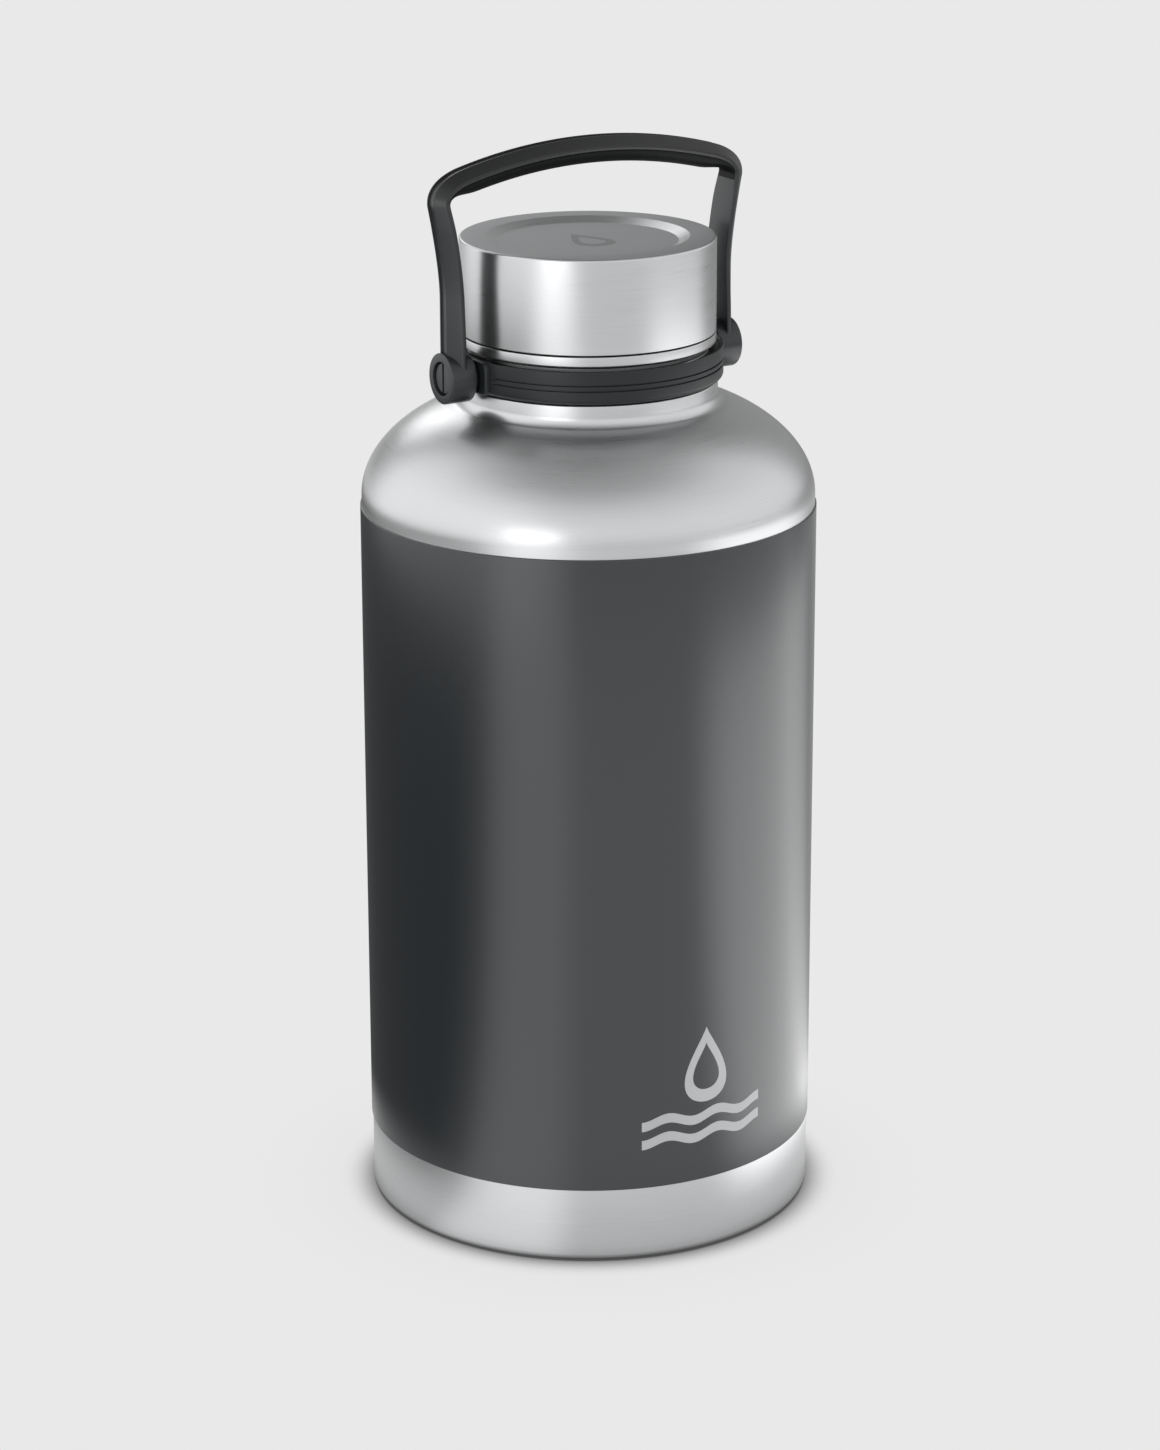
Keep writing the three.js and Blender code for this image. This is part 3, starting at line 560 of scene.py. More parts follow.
def shell_outline(b):
    """Outer wall up and inner wall down: base roll, band, recess for the coat, shoulder,
    fillet, neck and the step that carries the handle's collar."""
    wall = b.wall
    corner = b.base_corner
    bare = b.bare_radius
    neck = b.neck_radius
    lip = b.lip_radius
    step = b.neck_step
    top = high("outer_shell")
    coat_low, coat_high = ends("powder_coat")
    coat_r = high("powder_coat", 0)
    recess = coat_r - COAT_WALL - FINE
    opening = 48.0                   # radius where the base dish closes the bottle
    turn = 1.394 * pi                # where the fillet runs on from the shoulder
    foot = neck + b.neck_fillet * (1 + cos(turn))
    along = (foot - b.shoulder_hub) / (bare - b.shoulder_hub)
    foot_height = b.shoulder_start + b.shoulder_rise * np.sqrt(1 - along ** 2)
    centre = (neck + b.neck_fillet, foot_height - b.neck_fillet * sin(turn))
    return np.concatenate([
        [[opening, 0.0]],
        arc((bare - corner, corner), (corner, corner), -pi / 2, 0, 12),
        [[bare, coat_low - FINE], [recess, coat_low - FINE], [recess, coat_high + FINE],
         [bare, coat_high + FINE]],
        shoulder(b, 0, 0, foot),
        arc(centre, (b.neck_fillet,) * 2, turn, pi, 10)[1:],
        rounded([
            (neck, step, 0.4), (lip, step, 0.3), (lip, top, 0.3), (lip - wall, top, 0.2),
            (lip - wall, step - wall, 0.3), (neck - wall, step - wall, 0.3), (neck - wall, step - 3),
            (neck, step - 3)])[:-2],
        shoulder(b, coat_r - recess + wall, wall, neck - wall)[::-1],
        [[recess - wall, 1 + corner], [recess - 2 * wall, 1.0], [opening, 1.0]],
    ])


def make_bottle(settings):
    """The steel shell, the powder coat in its recess and the dished base."""
    b = in_mm(settings.bottle)
    fitted(solid("bottle_shell", turned(shell_outline(b))), "bottle", "brushed_steel", "outer_shell")

    outside = high("powder_coat", 0)
    edge = b.coat_edge
    coat = turned(section(outside - COAT_WALL, outside, *ends("powder_coat"), (0, edge, edge, 0)))
    fitted(solid("coat_sleeve", coat), "bottle", "slate_coat", "powder_coat")

    hole = 2.5
    dish = 44.0
    rise = 2.7
    rim = low("outer_base")
    reach = high("outer_base", 0)
    wall = b.wall
    base = turned(rounded([
        (hole, rim + rise, 0.2), (dish, rim + rise, 1.2), (dish + 3.0, rim, 1.2), (reach, rim, 0.3),
        (reach, rim + wall, 0.2), (dish + 3.4, rim + wall, 1.0), (dish + 0.4, rim + rise + wall, 1.0),
        (hole, rim + rise + wall, 0.2)]))
    fitted(solid("base_dish", base), "bottle", "base_steel", "outer_base")


def make_vacuum_parts(_):
    """The parts shut inside the vacuum wall and the disc that hides its sealing hole."""
    foil = turned(section(56.1, 56.4, *ends("radiation_foil"), 0.1, 3))
    fitted(solid("foil_wrap", foil), "bottle", "copper_foil", "radiation_foil")

    disc_r = 13.9
    disc_edge = 0.5
    foot = low("base_cover_disc")
    disc = turned(np.concatenate([
        [[0, foot]],
        arc((disc_r - disc_edge, foot + disc_edge), (disc_edge,) * 2, -pi / 2, 0, 6),
        [[disc_r, foot + 0.6], [0, foot + 0.6]]]), SMALL_SIDES, ring=False)
    fitted(solid("sealing_hole_cover", disc), "bottle", "base_steel", "base_cover_disc")

    foot, top = ends("vacuum_seal")
    bead = turned(np.concatenate([
        [[0, foot]], arc((1.3, foot + 0.8), (0.9, 0.8), -pi / 2, pi / 2, 14), [[0, top]]]),
        SMALL_SIDES, ring=False)
    fitted(solid("glass_bead", bead), "bottle", "seal_glass", "vacuum_seal")

    pellet_r = 5.0
    chamfer = 0.4
    foot = 7.3
    top = 9.1
    outline = [[0, foot], [pellet_r - chamfer, foot], [pellet_r, foot + chamfer],
               [pellet_r, top - chamfer], [pellet_r - chamfer, top], [0, top]]
    points, faces = turned(outline, SMALL_SIDES, ring=False)
    middle = sum(ends("getter_pellet", 0)) / 2
    fitted(solid("getter_tablet", (points + np.array([middle, 0, 0]), faces)),
           "bottle", "getter_metal", "getter_pellet")


def make_liner(settings):
    """The food-side vessel: round corner, straight wall, shoulder, mouth and its thread."""
    hub = in_mm(settings.bottle).shoulder_hub
    inner_r = 54.8
    corner = 8.8
    wall = 0.6
    floor = low("inner_vessel") + wall
    start = 190.0
    rise = 24.8
    mouth = 29.1
    neck = mouth + 0.8
    lip = 31.0
    top = high("inner_vessel")

    def dome(extra, end):
        span = inner_r + extra - hub
        return arc((hub, start), (span, rise + extra), 0, np.arccos((end - hub) / span), 40)

    def bowl(extra):
        return arc((inner_r - corner, floor + corner), (corner + extra,) * 2, -pi / 2, 0, 14)

    outline = np.concatenate([
        [[0, floor - wall]], bowl(wall), dome(wall, neck),
        [[neck, top - 0.8], [lip, top - 0.8], [lip, top - 0.1], [lip - 0.1, top]],
        [[mouth + 0.25, top], [mouth, top - 0.25]],
        dome(0, mouth)[::-1], bowl(0)[::-1], [[0, floor]]])
    liner = solid("liner", turned(outline, MEDIUM_SIDES, ring=False))
    rib = solid("liner_rib", thread(mouth + 0.3, 27.9, 0.25, 219.75, settings.top.lead / MM))
    fitted(shaped(liner, joined=[rib]), "bottle", "inner_steel", "inner_vessel")


# ---- collar and pivots ----
def make_collar(settings):
    """The nylon ring round the neck: two engraved lines round it, which stop short of the
    flat pads that carry the pivots, and a lip recessed for the trim ring."""
    h = in_mm(settings.handle)
    foot, top = ends("handle_collar")
    outside = 34.69
    inside = 31.3
    lines = (225.4, 226.8)
    line_end = 9.2                   # how far the lines keep from the middle of each pad
    half = h.groove_width / 2
    grooves = [z + shift for z in lines for shift in (-half, -0.6 * half, 0.6 * half, half)]
    ring = rounded([
        (inside, foot, 0.3), (outside, foot, 1.3), (outside, top, 0.25), (outside - 0.6, top, 0.15),
        (outside - 1.4, top - 1.0, 0.2), (inside, top - 1.0, 0.2)], 8)
    wall_end = np.argmax((ring[:, 0] > outside - 1e-6) & (ring[:, 1] > foot + 1.2)) + 1
    outline = np.concatenate([ring[:wall_end], [[outside, z] for z in grooves], ring[wall_end:]])
    angle = np.arange(SIDES) * 2 * pi / SIDES
    window = smooth((34.6 * np.abs(np.sin(angle)) - line_end) / 0.8)
    depth = np.zeros(len(outline))
    depth[wall_end:wall_end + len(grooves)] = [0, 1, 1, 0] * 2
    collar = solid("collar_ring", turned(outline, press=depth[:, None] * h.groove_depth * window))
    bore = turned([[0, 31.7], [3.7, 31.7], [3.7, 36], [0, 36]], SMALL_SIDES, ring=False)
    pads = [pivot_pad(side, foot, top) for side in (1, -1)]
    bores = [solid("insert_bore", about_pivot(bore, side)) for side in (1, -1)]
    collar = shaped(collar, joined=pads, cut=bores)
    fitted(collar, "bottle", "collar_nylon", "handle_collar", slot="black_nylon")


def pivot_pad(side, foot, top):
    """A rounded block with softly rounded front edges, seated in the collar's wall."""
    width = 17.0
    height = top - foot
    root = 32.0
    face = 34.9
    soften = 0.45
    depths = np.concatenate([[root], face - soften * (1 - np.sin(np.linspace(0, pi / 2, 6)))])
    insets = np.concatenate([[0], soften * (1 - np.cos(np.linspace(0, pi / 2, 6)))])
    rows = []
    for depth, inset in zip(depths, insets):
        w = width / 2 - inset
        v = height / 2 - inset
        outline = section(-w, w, -v, v, 2.0 - inset)
        rows.append(np.stack([
            np.full(len(outline), side * depth), side * outline[:, 0], (foot + top) / 2 + outline[:, 1]], -1))
    return solid("pivot_pad", carried(np.array(rows)))


def make_pivots(_):
    """Brass inserts, acetal washers and slotted shoulder screws, the same on both sides."""
    insert = section(2.6, 3.4, 32.0, 34.6, (0.15, 0.2, 0.2, 0.15))
    washer = section(2.7, 5.4, 35.2, 35.7, (0.1, 0.15, 0.15, 0.1))
    shank = 2.3
    head = 3.9
    head_foot = 41.3
    head_top = 42.3
    edge = 0.3
    screw = np.concatenate([
        [[0, 32.3], [2.0, 32.3], [shank, 32.6], [shank, head_foot], [head, head_foot]],
        arc((head - edge, head_top - edge), (edge, edge), 0, pi / 2, 6), [[0, head_top]]])
    slot_half = 0.5
    slot_floor = 40.3
    for side, suffix in ((1, "right"), (-1, "left")):
        fitted(solid(f"brass_insert_{suffix}", about_pivot(turned(insert, SMALL_SIDES), side)),
               "bottle", "insert_brass", f"thread_insert_{suffix}")
        fitted(solid(f"thrust_washer_{suffix}", about_pivot(turned(washer, SMALL_SIDES), side)),
               "bottle", "washer_acetal", f"pivot_washer_{suffix}")
        slot_y = np.array([-1, 1, 1, -1]) * slot_half
        slot_x = side * np.array([slot_floor, slot_floor, head_top + 0.9, head_top + 0.9])
        rows = np.array([np.stack([slot_x, slot_y, np.full(4, PIVOT_HEIGHT + z)], -1) for z in (-5, 5)])
        whole = solid(f"slotted_screw_{suffix}", about_pivot(turned(screw, SMALL_SIDES, ring=False), side))
        fitted(shaped(whole, cut=[solid("slot", carried(rows))]),
               "bottle", "screw_steel", f"pivot_screw_{suffix}")


# ---- handle ----
def bezier(points, steps):
    """Points of a Bezier curve, each the blend of its control points by Bernstein weights."""
    t = np.linspace(0, 1, steps + 1)[:, None]
    layers = np.array(points, float)[:, None] * np.ones_like(t)
    while len(layers) > 1:
        layers = layers[:-1] * (1 - t) + layers[1:] * t
    return layers[0]


def handle_line(h):
    """The handle's outer line as (x, z): straight arms that flare outwards, tight corners
    and a bar that is an arc. The left half mirrors the right."""
    crown = high("handle_frame")
    radius = h.bar_radius
    bar = h.bar_half
    edge = crown - radius + np.sqrt(radius ** 2 - bar ** 2)
    slope = bar / (edge - crown + radius)
    reach = 4.7
    arm = np.stack([np.full(14, h.arm), np.linspace(PIVOT_HEIGHT, h.arm_straight, 15)[:-1]], -1)
    corner = (h.corner_out, h.corner_height)
    flare = bezier([(h.arm, h.arm_straight), (h.arm, 254.0), corner], 20)
    turn = bezier([corner, (h.corner_out + 0.5, h.corner_height + reach),
                   (bar + reach, edge - reach * slope), (bar, edge)], 24)
    start = np.arcsin(bar / radius)
    crest = arc((0, crown - radius), (radius, radius), pi / 2 - start, pi / 2, 24)
    right = np.concatenate([arm, flare[:-1], turn[:-1], crest])
    return np.concatenate([right, right[-2::-1] * [-1, 1]])


def strap_rows(line, sections):
    """Sections of (across, depth) set square to the line: across is along Y, and depth runs
    inwards from the line."""
    tangent = np.gradient(line, axis=0)
    tangent /= np.linalg.norm(tangent, axis=1)[:, None]
    inward = np.stack([-tangent[:, 1], tangent[:, 0]], -1)
    across = sections[..., 0]
    depth = sections[..., 1]
    x = line[:, :1] + inward[:, :1] * depth
    z = line[:, 1:] + inward[:, 1:] * depth
    return np.stack([x, across, z], -1)


def strap_section(half, thickness):
    """Half of the strap's outline mirrored: a grooved outer strip, wide bevels and thin edges."""
    edge = 1.1
    side = [(1.2, 0.45, 0.12), (1.2, 0, 0.1), (1.65, 0, 0.15), (half, thickness - edge, 0.7),
            (half - 0.2, thickness, 0.4)]
    other = [(-a, d, r) for a, d, r in side][::-1]
    return rounded(side + other, 5)


def make_handle(settings):
    """The nylon handle with its two hubs, and the soft grip moulded under the bar."""
    h = in_mm(settings.handle)
    line = handle_line(h)
    height = line[:, 1:, None]
    narrow = strap_section(h.strap_half, h.strap_thickness)
    wide = strap_section(h.root_half, h.strap_thickness)
    share = (h.arm_half - h.strap_half) / (h.root_half - h.strap_half)
    spread = share * smooth((272.0 - height) / 10.0) + (1 - share) * smooth((252.0 - height) / 20.0)
    strap = solid("handle", carried(strap_rows(line, narrow + (wide - narrow) * spread)))
    hub_low = 36.0
    hub_top = 42.87
    hub = turned(section(1.5, h.hub_radius, hub_low, hub_top, (0, 0.35, 0.35, 0)), SMALL_SIDES)
    bore = turned([[0, 34.9], [2.7, 34.9], [2.7, 41.0], [4.3, 41.0], [4.3, 42.7], [4.6, 43.6], [0, 43.6]],
                  SMALL_SIDES, ring=False)
    hubs = [solid("hub", about_pivot(hub, side)) for side in (1, -1)]
    bores = [solid("bore", about_pivot(bore, side)) for side in (1, -1)]
    fitted(shaped(strap, joined=hubs, cut=bores), "handle", "black_nylon", "handle_frame")

    under = line[line[:, 1] > h.corner_height - 2.5]
    top = h.strap_thickness + FINE
    half = 3.85
    end_run = 18.0                   # how far the grip takes to swell at each end
    distance = np.concatenate([[0], np.cumsum(np.linalg.norm(np.diff(under, axis=0), axis=1))])
    ends = smooth(np.minimum(distance, distance[-1] - distance) / end_run)[:, None]
    bulge = (h.grip_thickness - 0.3) * (0.02 + 0.98 * ends)
    angle = np.linspace(0, pi, 25)
    across = -half * np.cos(angle) * (1 - 0.04 * np.sin(angle))
    depth = top + 0.3 * ends + bulge * np.sin(angle) ** 1.1
    flat = np.broadcast_to([[half, top], [-half, top]], (len(under), 2, 2))
    rows = np.concatenate([np.stack([np.broadcast_to(across, depth.shape), depth], -1), flat], 1)
    fitted(solid("grip_pad", carried(strap_rows(under, rows))), "handle", "soft_grip", "handle_grip")


# ---- spout ----
def make_spout(settings):
    """The screw-in spout, its steel trim ring and the seal under its flange."""
    t = in_mm(settings.top)
    plug = t.plug_radius
    inside = plug - 2.2
    radius = t.spout_radius
    bore = t.spout_bore
    foot, top = ends("spout_adaptor")
    flange = 31.7
    flange_low = 232.0
    flange_top = 233.3
    body = solid("spout", turned(rounded([
        (inside, foot, 0.4), (plug, foot, 0.6), (plug, flange_low, 0.2), (flange, flange_low, 0.2),
        (flange, flange_top, 0.3), (radius, flange_top, 0.8), (radius, top, 0.9), (bore, top, 0.9),
        (bore, flange_top, 3.0), (inside, 226.0, 3.0)], 8), MEDIUM_SIDES))
    ribs = [
        solid("plug_rib", thread(plug - 0.3, 28.7, 0, 221.0, t.lead)),
        solid("spout_rib", thread(radius - 0.3, 23.8, 0, 237.0, t.lead)),
    ]
    fitted(shaped(body, joined=ribs), "spout", "spout_polypropylene", "spout_adaptor")
    outside = high("spout_trim_ring", 0)
    ring = turned(section(outside - 0.8, outside, *ends("spout_trim_ring"), (0.1, 0.5, 0.18, 0.1)))
    fitted(solid("trim_ring", ring), "spout", "cap_steel", "spout_trim_ring", slot="brushed_steel")
    seal = turned(section(29.4, 31.6, *ends("mouth_gasket"), 0.35), MEDIUM_SIDES)
    fitted(solid("mouth_seal", seal), "spout_seal", "gasket_silicone", "mouth_gasket")


# ---- cap ----
def make_cap(settings):
    """The cap's steel shell, its moulded core with the thread, foam, liner disc and seal."""
    t = in_mm(settings.top)
    outside = high("cap_shell", 0)
    foot, top = ends("cap_shell")
    wall = t.cap_wall
    edge = t.cap_edge
    rim = t.recess_rim
    floor_r = t.recess_floor
    floor = top - t.recess_depth
    shell = rounded([
        (0, floor - wall), (floor_r + 0.3, floor - wall, 0.6), (rim + 0.3, top - wall, 0.6),
        (outside - wall, top - wall, 0.6), (outside - wall, foot, 0.15), (outside, foot, 0.2),
        (outside, top, edge), (rim, top, 0.45), (floor_r, floor, 0.5), (0, floor)], 8)
    cap = solid("cap", turned(shell, ring=False))
    fitted(cap, "cap", "cap_steel", "cap_shell", slot="brushed_steel")
    cap.data.materials.append(materials["cap_top_steel"])
    heights = np.array([face.normal.z for face in cap.data.polygons])
    middles = np.array([face.center for face in cap.data.polygons]) / MM
    flat_top = (heights > 0.995) & (middles[:, 2] > floor - 0.3)
    cap.data.polygons.foreach_set("material_index", flat_top.astype(np.int32))

    bore = 24.3
    core_r = 26.6
    core_low = 236.0
    core_top = 253.1
    ceiling = 251.5
    flange = outside - wall - 0.3
    core = solid("cap_insert", turned(rounded([
        (0, ceiling), (bore, ceiling, 0.8), (bore, foot + 1.0, 0.3), (bore + 0.7, foot + 0.2, 0.3),
        (flange, foot + 0.2, 0.2), (flange, core_low, 0.3), (core_r, core_low, 0.8), (core_r, core_top, 0.8),
        (0, core_top)]), MEDIUM_SIDES, ring=False))
    rib = solid("cap_rib", thread(bore + 0.3, 23.1, 0.375, 236.375, t.lead))
    fitted(shaped(core, joined=[rib]), "cap", "spout_polypropylene", "cap_core")

    gap = 0.3
    under = top - wall - gap
    foam = turned(rounded([
        (0, core_top + gap), (core_r + gap, core_top + gap, 0.3), (core_r + gap, core_low + gap, 0.3),
        (flange, core_low + gap, 0.3), (flange, under, 0.8), (rim + 0.6, under, 0.4),
        (floor_r + 0.6, under - t.recess_depth, 0.4), (0, under - t.recess_depth)]),
        MEDIUM_SIDES, ring=False)
    fitted(solid("cap_filling", foam), "cap", "cap_foam", "cap_insulation")
    disc = turned(section(0, 18.6, 250.6, 251.2, (0, 0.2, 0.2, 0)), MEDIUM_SIDES, ring=False)
    fitted(solid("cap_disc", disc), "cap", "inner_steel", "cap_liner_disc")
    seal = turned(section(19.0, 22.9, 250.3, 251.2, 0.3), MEDIUM_SIDES)
    fitted(solid("cap_seal", seal), "cap_seal", "gasket_silicone", "cap_gasket")


# ---- mark ----
def drop_outline(width):
    """A water drop: x = 0.625 w sin a sin^1.5(a/2), z = 0.72 w cos a, for a once round."""
    a = np.linspace(0, 2 * pi, 96, endpoint=False)
    return width * np.stack([0.625 * np.sin(a) * np.abs(np.sin(a / 2)) ** 1.5, 0.72 * np.cos(a)], -1)


def band(outer, inner, thickness):
    """A flat closed band between two outlines of equal length, as (x, z, height) rows."""
    rows = [(outer, 0), (outer, thickness), (inner, thickness), (inner, 0)]
    grid = np.array([np.concatenate([line, np.full((len(line), 1), rise)], 1) for line, rise in rows])
    return grid, net(len(grid), len(outer), closed_rows=True)


def ripple(width, height, thickness):
    """A wavy bar: its middle is z = 0.9 sin(5 pi x / width), its ends are square."""
    x = np.linspace(-width / 2, width / 2, 81)
    z = 0.9 * np.sin(5 * pi * x / width)
    corners = [(-1, 0), (1, 0), (1, 1), (-1, 1)]
    grid = np.array([[(across, level + side * height / 2, up * thickness) for side, up in corners]
                     for across, level in zip(x, z)])
    return carried(grid)


def wrap(surface, radius, middle):
    """Wraps a flat (x, z, rise) drawing round the bottle's front, which faces -Y."""
    grid, faces = surface
    angle = grid[..., 0] / radius - pi / 2
    reach = radius + grid[..., 2]
    return np.stack([reach * np.cos(angle), reach * np.sin(angle), middle + grid[..., 1]], -1), faces


def lay(surface, height):
    """Lays a flat (x, z, rise) drawing on a level face, its top towards the back."""
    grid, faces = surface
    return np.stack([grid[..., 0], grid[..., 1], height + grid[..., 2]], -1), faces


def shift(surface, up):
    """Moves a flat drawing up or down in its own plane."""
    return surface[0] + np.array([0, up, 0]), surface[1]


def make_marks(settings):
    """A plain drop over two ripples, printed on the coat, and a faint drop on the cap."""
    width = settings.finish.mark_width / MM
    middle = settings.finish.mark_height / MM
    ink = 0.04
    stroke = 2.6
    outside = high("powder_coat", 0) + 0.005
    drop = drop_outline(0.4 * width)
    drawing = [
        shift(band(drop, drop * 0.62 + [0, -0.5], ink), 0.17 * width),
        shift(ripple(width, stroke, ink), -0.22 * width),
        shift(ripple(width, stroke, ink), -0.36 * width),
    ]
    mark = solid("printed_mark", *[wrap(part, outside, middle) for part in drawing])
    fitted(mark, "bottle", "printed_ink", slot="slate_coat")
    drop = drop_outline(12.0)
    floor = high("cap_shell") - settings.top.recess_depth / MM
    emblem = solid("cap_emblem", lay(band(drop, drop * 0.6 + [0, -0.6], 0.03), floor + 0.002))
    fitted(emblem, "cap", "base_steel", slot="brushed_steel")


# ---- stage ----
CAMERA_TURN = radians(-30.6)      # the camera's bearing, from the front towards -X


def from_camera(bearing, elevation, distance, aim):
    """A place seen from the aim point: bearing is to the right of the camera, in degrees."""
    around = CAMERA_TURN - pi / 2 + radians(bearing)
    flat = distance * cos(radians(elevation))
    return aim + Vector((flat * cos(around), flat * sin(around), distance * sin(radians(elevation))))


def softbox(name, bearing, elevation, distance, size, radiance, aim):
    """A soft rectangular light of one even brightness, turned to the aim point."""
    light = bpy.data.lights.new(name, "AREA")
    light.shape = "RECTANGLE"
    light.size, light.size_y = size
    light.energy = radiance * pi * size[0] * size[1]
    lamp = bpy.data.objects.new(name, light)
    lamp.location = from_camera(bearing, elevation, distance, aim)
    lamp.rotation_euler = (lamp.location - aim).to_track_quat("Z", "Y").to_euler()
    lamp.visible_camera = False
    bpy.context.collection.objects.link(lamp)


def facing(tree, place, bearing, start, full):
    """How nearly a place or direction lies at a bearing: 0 to 1 between two angles off it."""
    around_z = CAMERA_TURN - pi / 2 + radians(bearing)
    level = figure(tree, "MULTIPLY", place, (1, 1, 0), kind="VectorMath")
    unit = figure(tree, "NORMALIZE", level, kind="VectorMath")
    match = figure(tree, "DOT_PRODUCT", unit, (cos(around_z), sin(around_z), 0), kind="VectorMath")
    return ramp(tree, match, cos(radians(start)), cos(radians(full)))


def total(tree, *shares):
    """The sum of numbers, each times its own weight."""
    amount = 0.0
    for value, weight in shares:
        amount = figure(tree, "MULTIPLY_ADD", value, weight, amount)
    return amount


def times(tree, *values):
    """The product of several numbers."""
    product = values[0]
    for value in values[1:]:
        product = figure(tree, "MULTIPLY", product, value)
    return product


def closeness(tree, distance):
    """How open the floor is within a distance in metres, by ambient occlusion: 1 in the open, less beside the
    object, which paints shadow on the floor.
    """
    return add(tree, "AmbientOcclusion", {"Distance": distance}, samples=16).outputs["AO"]


def make_floor(studio):
    """A pale paper floor that looks even, and darker only where a painted shadow lies round the
    object standing on it. What the object reflects is the same floor with painted light and shade
    on it: a painted dark patch on the left, painted bright patches on the right and under the key
    light, a painted grey patch behind, and beyond a metre a dimmer floor that is painted bright on
    the left. Seen from the camera's side, that is."""
    half = studio.floor_size / 2
    mesh = bpy.data.meshes.new("floor")
    corners = [[x * half, y * half, 0] for x, y in ((-1, -1), (1, -1), (1, 1), (-1, 1))]
    mesh.from_pydata(corners, [], [[0, 1, 2, 3]])
    floor = bpy.data.objects.new("floor", mesh)
    bpy.context.collection.objects.link(floor)
    material, tree, place = new_material("paper_floor")
    reach = figure(tree, "LENGTH", place, kind="VectorMath")
    clear = ramp(tree, reach, 0.074, 0.106)
    dark = times(tree, facing(tree, place, -115, 84, 44), clear, ramp(tree, reach, 0.9, 1.05, 1.0, 0.0))
    bright = times(tree, facing(tree, place, 96, 50, 18), clear, ramp(tree, reach, 0.72, 0.84, 1.0, 0.0))
    behind = times(tree, facing(tree, place, 148, 34, 20), clear)
    far = ramp(tree, reach, 0.9, 1.02)
    far_left = times(tree, facing(tree, place, -78, 72, 40), far)
    lane = facing(tree, place, -28, 26, 8)
    # Painted light and shade that only reflections see: dark patches, glowing patches and a lit lane.
    lit = total(
        tree, (dark, -0.88), (bright, studio.right_glow), (behind, -0.4), (far, -0.25), (far_left, 0.8),
        (clear, 0.18), (lane, studio.lane), (1.0, 0.82))
    # painted shadow: the floor's glow is dimmed by ambient occlusion beside the object
    contact = ramp(tree, closeness(tree, 0.01), 0.25, 1.0, 0.1, 1.0)
    shadow = ramp(tree, closeness(tree, 0.05), 0.3, 1.0, 0.93, 1.0)
    seen = add(tree, "LightPath").outputs["Is Camera Ray"]
    strength = times(tree, mixed(tree, seen, lit, 1.0, "FLOAT"), contact, shadow)
    paper = add(tree, "Emission", {"Color": list(studio.paper), "Strength": strength})
    add(tree, "OutputMaterial", {"Surface": paper.outputs[0]})
    mesh.materials.append(material)


def make_world(studio):
    """A background the colour of the paper. What the object reflects is a dim room instead,
    brighter on the camera's side, to its left and down near the floor."""
    world = bpy.data.worlds.new("studio")
    world.use_nodes = True
    bpy.context.scene.world = world
    tree = world.node_tree
    tree.nodes.clear()
    seen = add(tree, "LightPath").outputs["Is Camera Ray"]
    way = add(tree, "TexCoord").outputs["Generated"]
    height = add(tree, "SeparateXYZ", {"Vector": way}).outputs["Z"]
    sides = times(tree, facing(tree, way, 0, 155, 125), ramp(tree, height, 0.7, 0.996, 1.0, 0.3))
    left = times(tree, facing(tree, way, -85, 70, 35), ramp(tree, height, 0.6, 0.95, 1.0, 0.0))
    skirting = ramp(tree, height, 0.34, 0.75, 1.0, 0.0)
    glow = total(tree, (sides, studio.walls), (left, 0.22), (skirting, 0.15), (1.0, studio.ambient))
    room = add(tree, "Background", {"Color": (1, 1, 1, 1), "Strength": glow})
    paper = add(tree, "Background", {"Color": list(studio.paper), "Strength": 1.0})
    both = add(tree, "MixShader", {"Fac": seen, 1: room.outputs[0], 2: paper.outputs[0]})
    add(tree, "OutputWorld", {"Surface": both.outputs[0]})


def make_camera(studio):
    """The camera stands 1.04 m away and looks 18 degrees down."""
    distance = 1.03801
    height = 0.46175
    pitch = radians(17.8545)
    yaw = radians(-0.1285)
    roll = radians(-0.1636)
    forward = Vector((sin(yaw) * cos(pitch), cos(yaw) * cos(pitch), -sin(pitch)))
    right = Vector((cos(yaw), -sin(yaw), 0))
    up = right.cross(forward)
    tilted = (right * cos(roll) + up * sin(roll), up * cos(roll) - right * sin(roll), -forward)
    level = Matrix(tilted).transposed()
    turn = Matrix.Rotation(CAMERA_TURN, 4, "Z")
    data = bpy.data.cameras.new("camera")
    data.sensor_width = 36.0
    data.lens = studio.lens
    camera = bpy.data.objects.new("camera", data)
    camera.matrix_world = turn @ Matrix.Translation((0, -distance, height)) @ level.to_4x4()
    bpy.context.collection.objects.link(camera)
    bpy.context.scene.camera = camera


def make_stage(settings):
    """The floor, the room, three softboxes and the camera."""
    studio = settings.studio
    middle = Vector((0, 0, 0.14))
    make_floor(studio)
    make_world(studio)
    boxes = (    # name, bearing, elevation, distance, size, radiance
        ("key_light", -27, 8, 1.3, (0.6, 0.36), 1.5),
        ("left_light", -155, 25, 1.4, (0.35, 0.35), 1.0),
        ("back_light", -163, 31, 1.5, (0.34, 1.0), 1.0),
    )
    for box in boxes:
        softbox(*box, middle)
    make_camera(studio)
    bpy.context.scene.view_settings.view_transform = "Standard"


# ---- operators ----
def run(maker, context):
    """Calls a maker with the scene's settings and says that it has finished."""
    maker(context.scene.growler)
    return {"FINISHED"}


class GROWLER_OT_finishes(bpy.types.Operator):
    """Mix every finish of the object"""
    bl_idname = "growler.finishes"
    bl_label = "Finishes"

    def execute(self, context):
        return run(make_materials, context)


class GROWLER_OT_bottle(bpy.types.Operator):
    """Make the steel shell, the powder coat and the base dish"""
    bl_idname = "growler.bottle"
    bl_label = "Bottle"

    def execute(self, context):
        return run(make_bottle, context)


class GROWLER_OT_vacuum_parts(bpy.types.Operator):
    """Make the foil, getter, glass bead and cover disc of the vacuum wall"""
    bl_idname = "growler.vacuum_parts"
    bl_label = "Vacuum parts"

    def execute(self, context):
        return run(make_vacuum_parts, context)


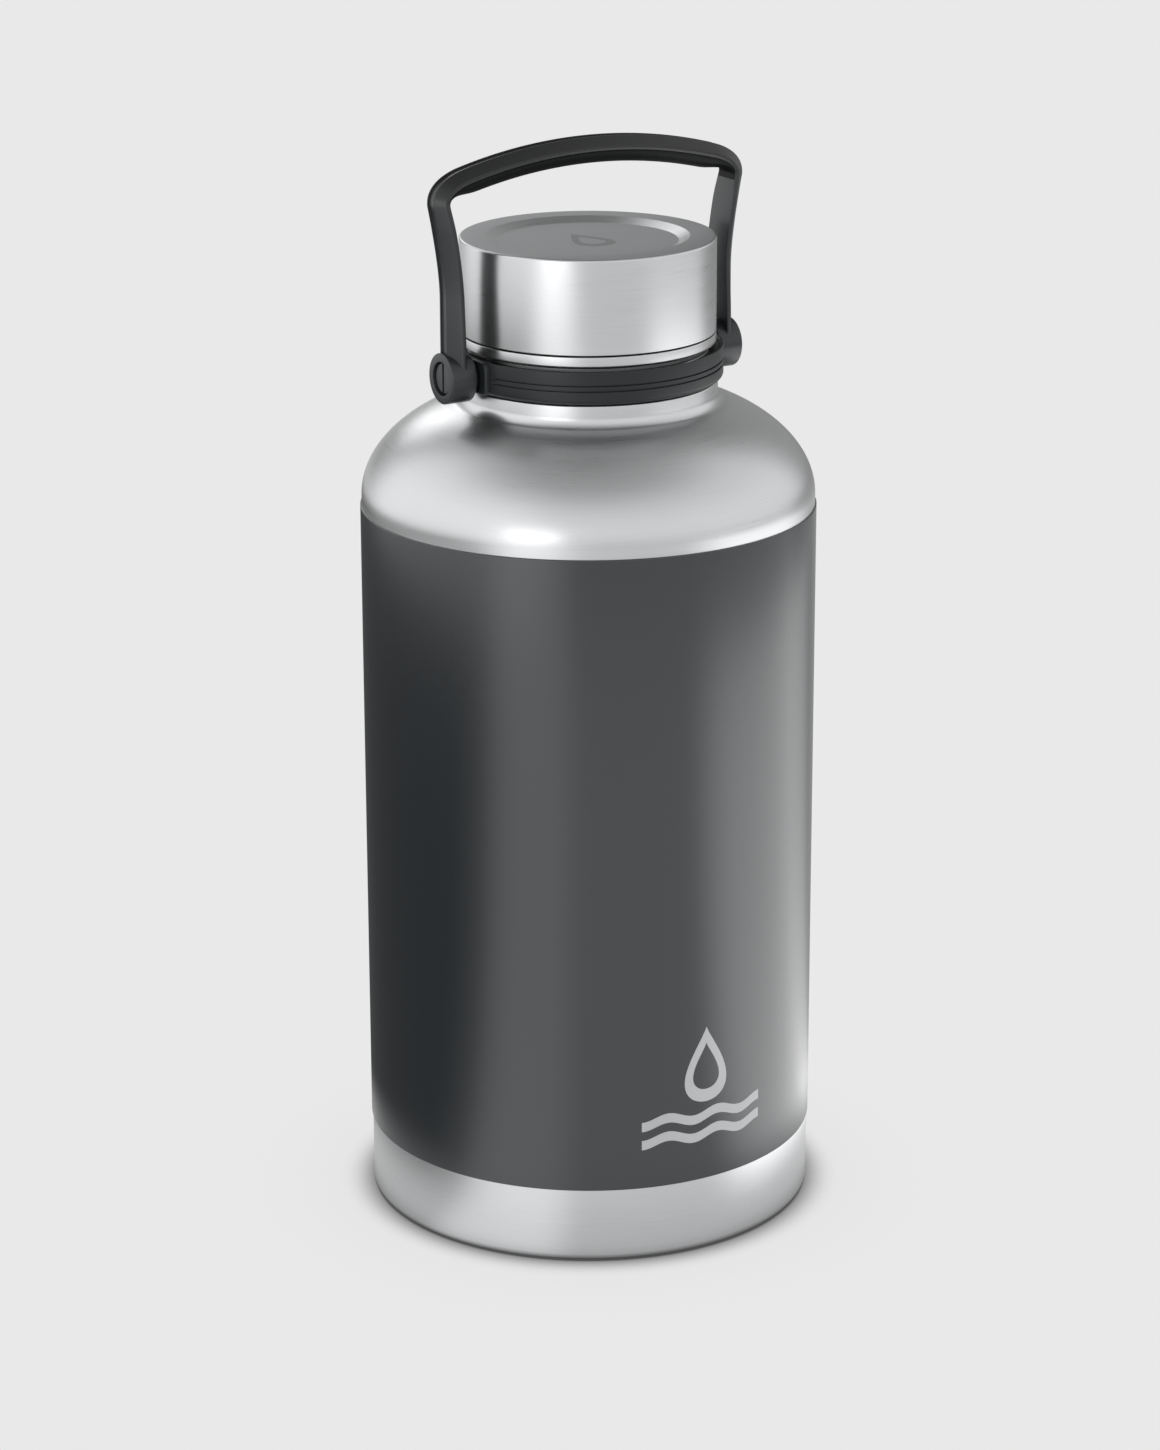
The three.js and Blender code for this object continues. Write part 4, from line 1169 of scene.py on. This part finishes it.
class GROWLER_OT_liner(bpy.types.Operator):
    """Make the inner vessel with its mouth thread"""
    bl_idname = "growler.liner"
    bl_label = "Liner"

    def execute(self, context):
        return run(make_liner, context)


class GROWLER_OT_collar(bpy.types.Operator):
    """Make the handle's collar"""
    bl_idname = "growler.collar"
    bl_label = "Collar"

    def execute(self, context):
        return run(make_collar, context)


class GROWLER_OT_pivots(bpy.types.Operator):
    """Make both pivots: inserts, washers and screws"""
    bl_idname = "growler.pivots"
    bl_label = "Pivots"

    def execute(self, context):
        return run(make_pivots, context)


class GROWLER_OT_handle(bpy.types.Operator):
    """Make the carry handle and its grip"""
    bl_idname = "growler.handle"
    bl_label = "Handle"

    def execute(self, context):
        return run(make_handle, context)


class GROWLER_OT_spout(bpy.types.Operator):
    """Make the spout, its trim ring and its seal"""
    bl_idname = "growler.spout"
    bl_label = "Spout"

    def execute(self, context):
        return run(make_spout, context)


class GROWLER_OT_cap(bpy.types.Operator):
    """Make the cap and everything inside it"""
    bl_idname = "growler.cap"
    bl_label = "Cap"

    def execute(self, context):
        return run(make_cap, context)


class GROWLER_OT_marks(bpy.types.Operator):
    """Print the plain mark on the coat and the cap"""
    bl_idname = "growler.marks"
    bl_label = "Marks"

    def execute(self, context):
        return run(make_marks, context)


class GROWLER_OT_stage(bpy.types.Operator):
    """Set up the floor, the lights and the camera"""
    bl_idname = "growler.stage"
    bl_label = "Stage"

    def execute(self, context):
        return run(make_stage, context)


PIECES = (
    GROWLER_OT_finishes, GROWLER_OT_bottle, GROWLER_OT_vacuum_parts, GROWLER_OT_liner,
    GROWLER_OT_collar, GROWLER_OT_pivots, GROWLER_OT_handle, GROWLER_OT_spout, GROWLER_OT_cap,
    GROWLER_OT_marks, GROWLER_OT_stage,
)


class GROWLER_PT_panel(bpy.types.Panel):
    """Lists the growler's pieces and settings"""
    bl_idname = "GROWLER_PT_panel"
    bl_label = "Growler"
    bl_space_type = "VIEW_3D"
    bl_region_type = "UI"
    bl_category = "Growler"

    def draw(self, context):
        layout = self.layout
        for operator in PIECES:
            layout.operator(operator.bl_idname)
        settings = context.scene.growler
        for group in (settings.bottle, settings.handle, settings.top, settings.finish, settings.studio):
            box = layout.box()
            for key in group.__annotations__:
                box.prop(group, key)


CLASSES = (
    BottleSizes, HandleSizes, ScrewTopSizes, Finishes, Studio, GrowlerSettings, *PIECES, GROWLER_PT_panel)


def register():
    for item in CLASSES:
        bpy.utils.register_class(item)
    bpy.types.Scene.growler = bpy.props.PointerProperty(type=GrowlerSettings)


def unregister():
    del bpy.types.Scene.growler
    for item in reversed(CLASSES):
        bpy.utils.unregister_class(item)


def main():
    """Builds everything in order."""
    register()
    for operator in PIECES:
        group, name = operator.bl_idname.split(".")
        getattr(getattr(bpy.ops, group), name)()
    bpy.context.view_layer.update()


if __name__ == "__main__":
    main()
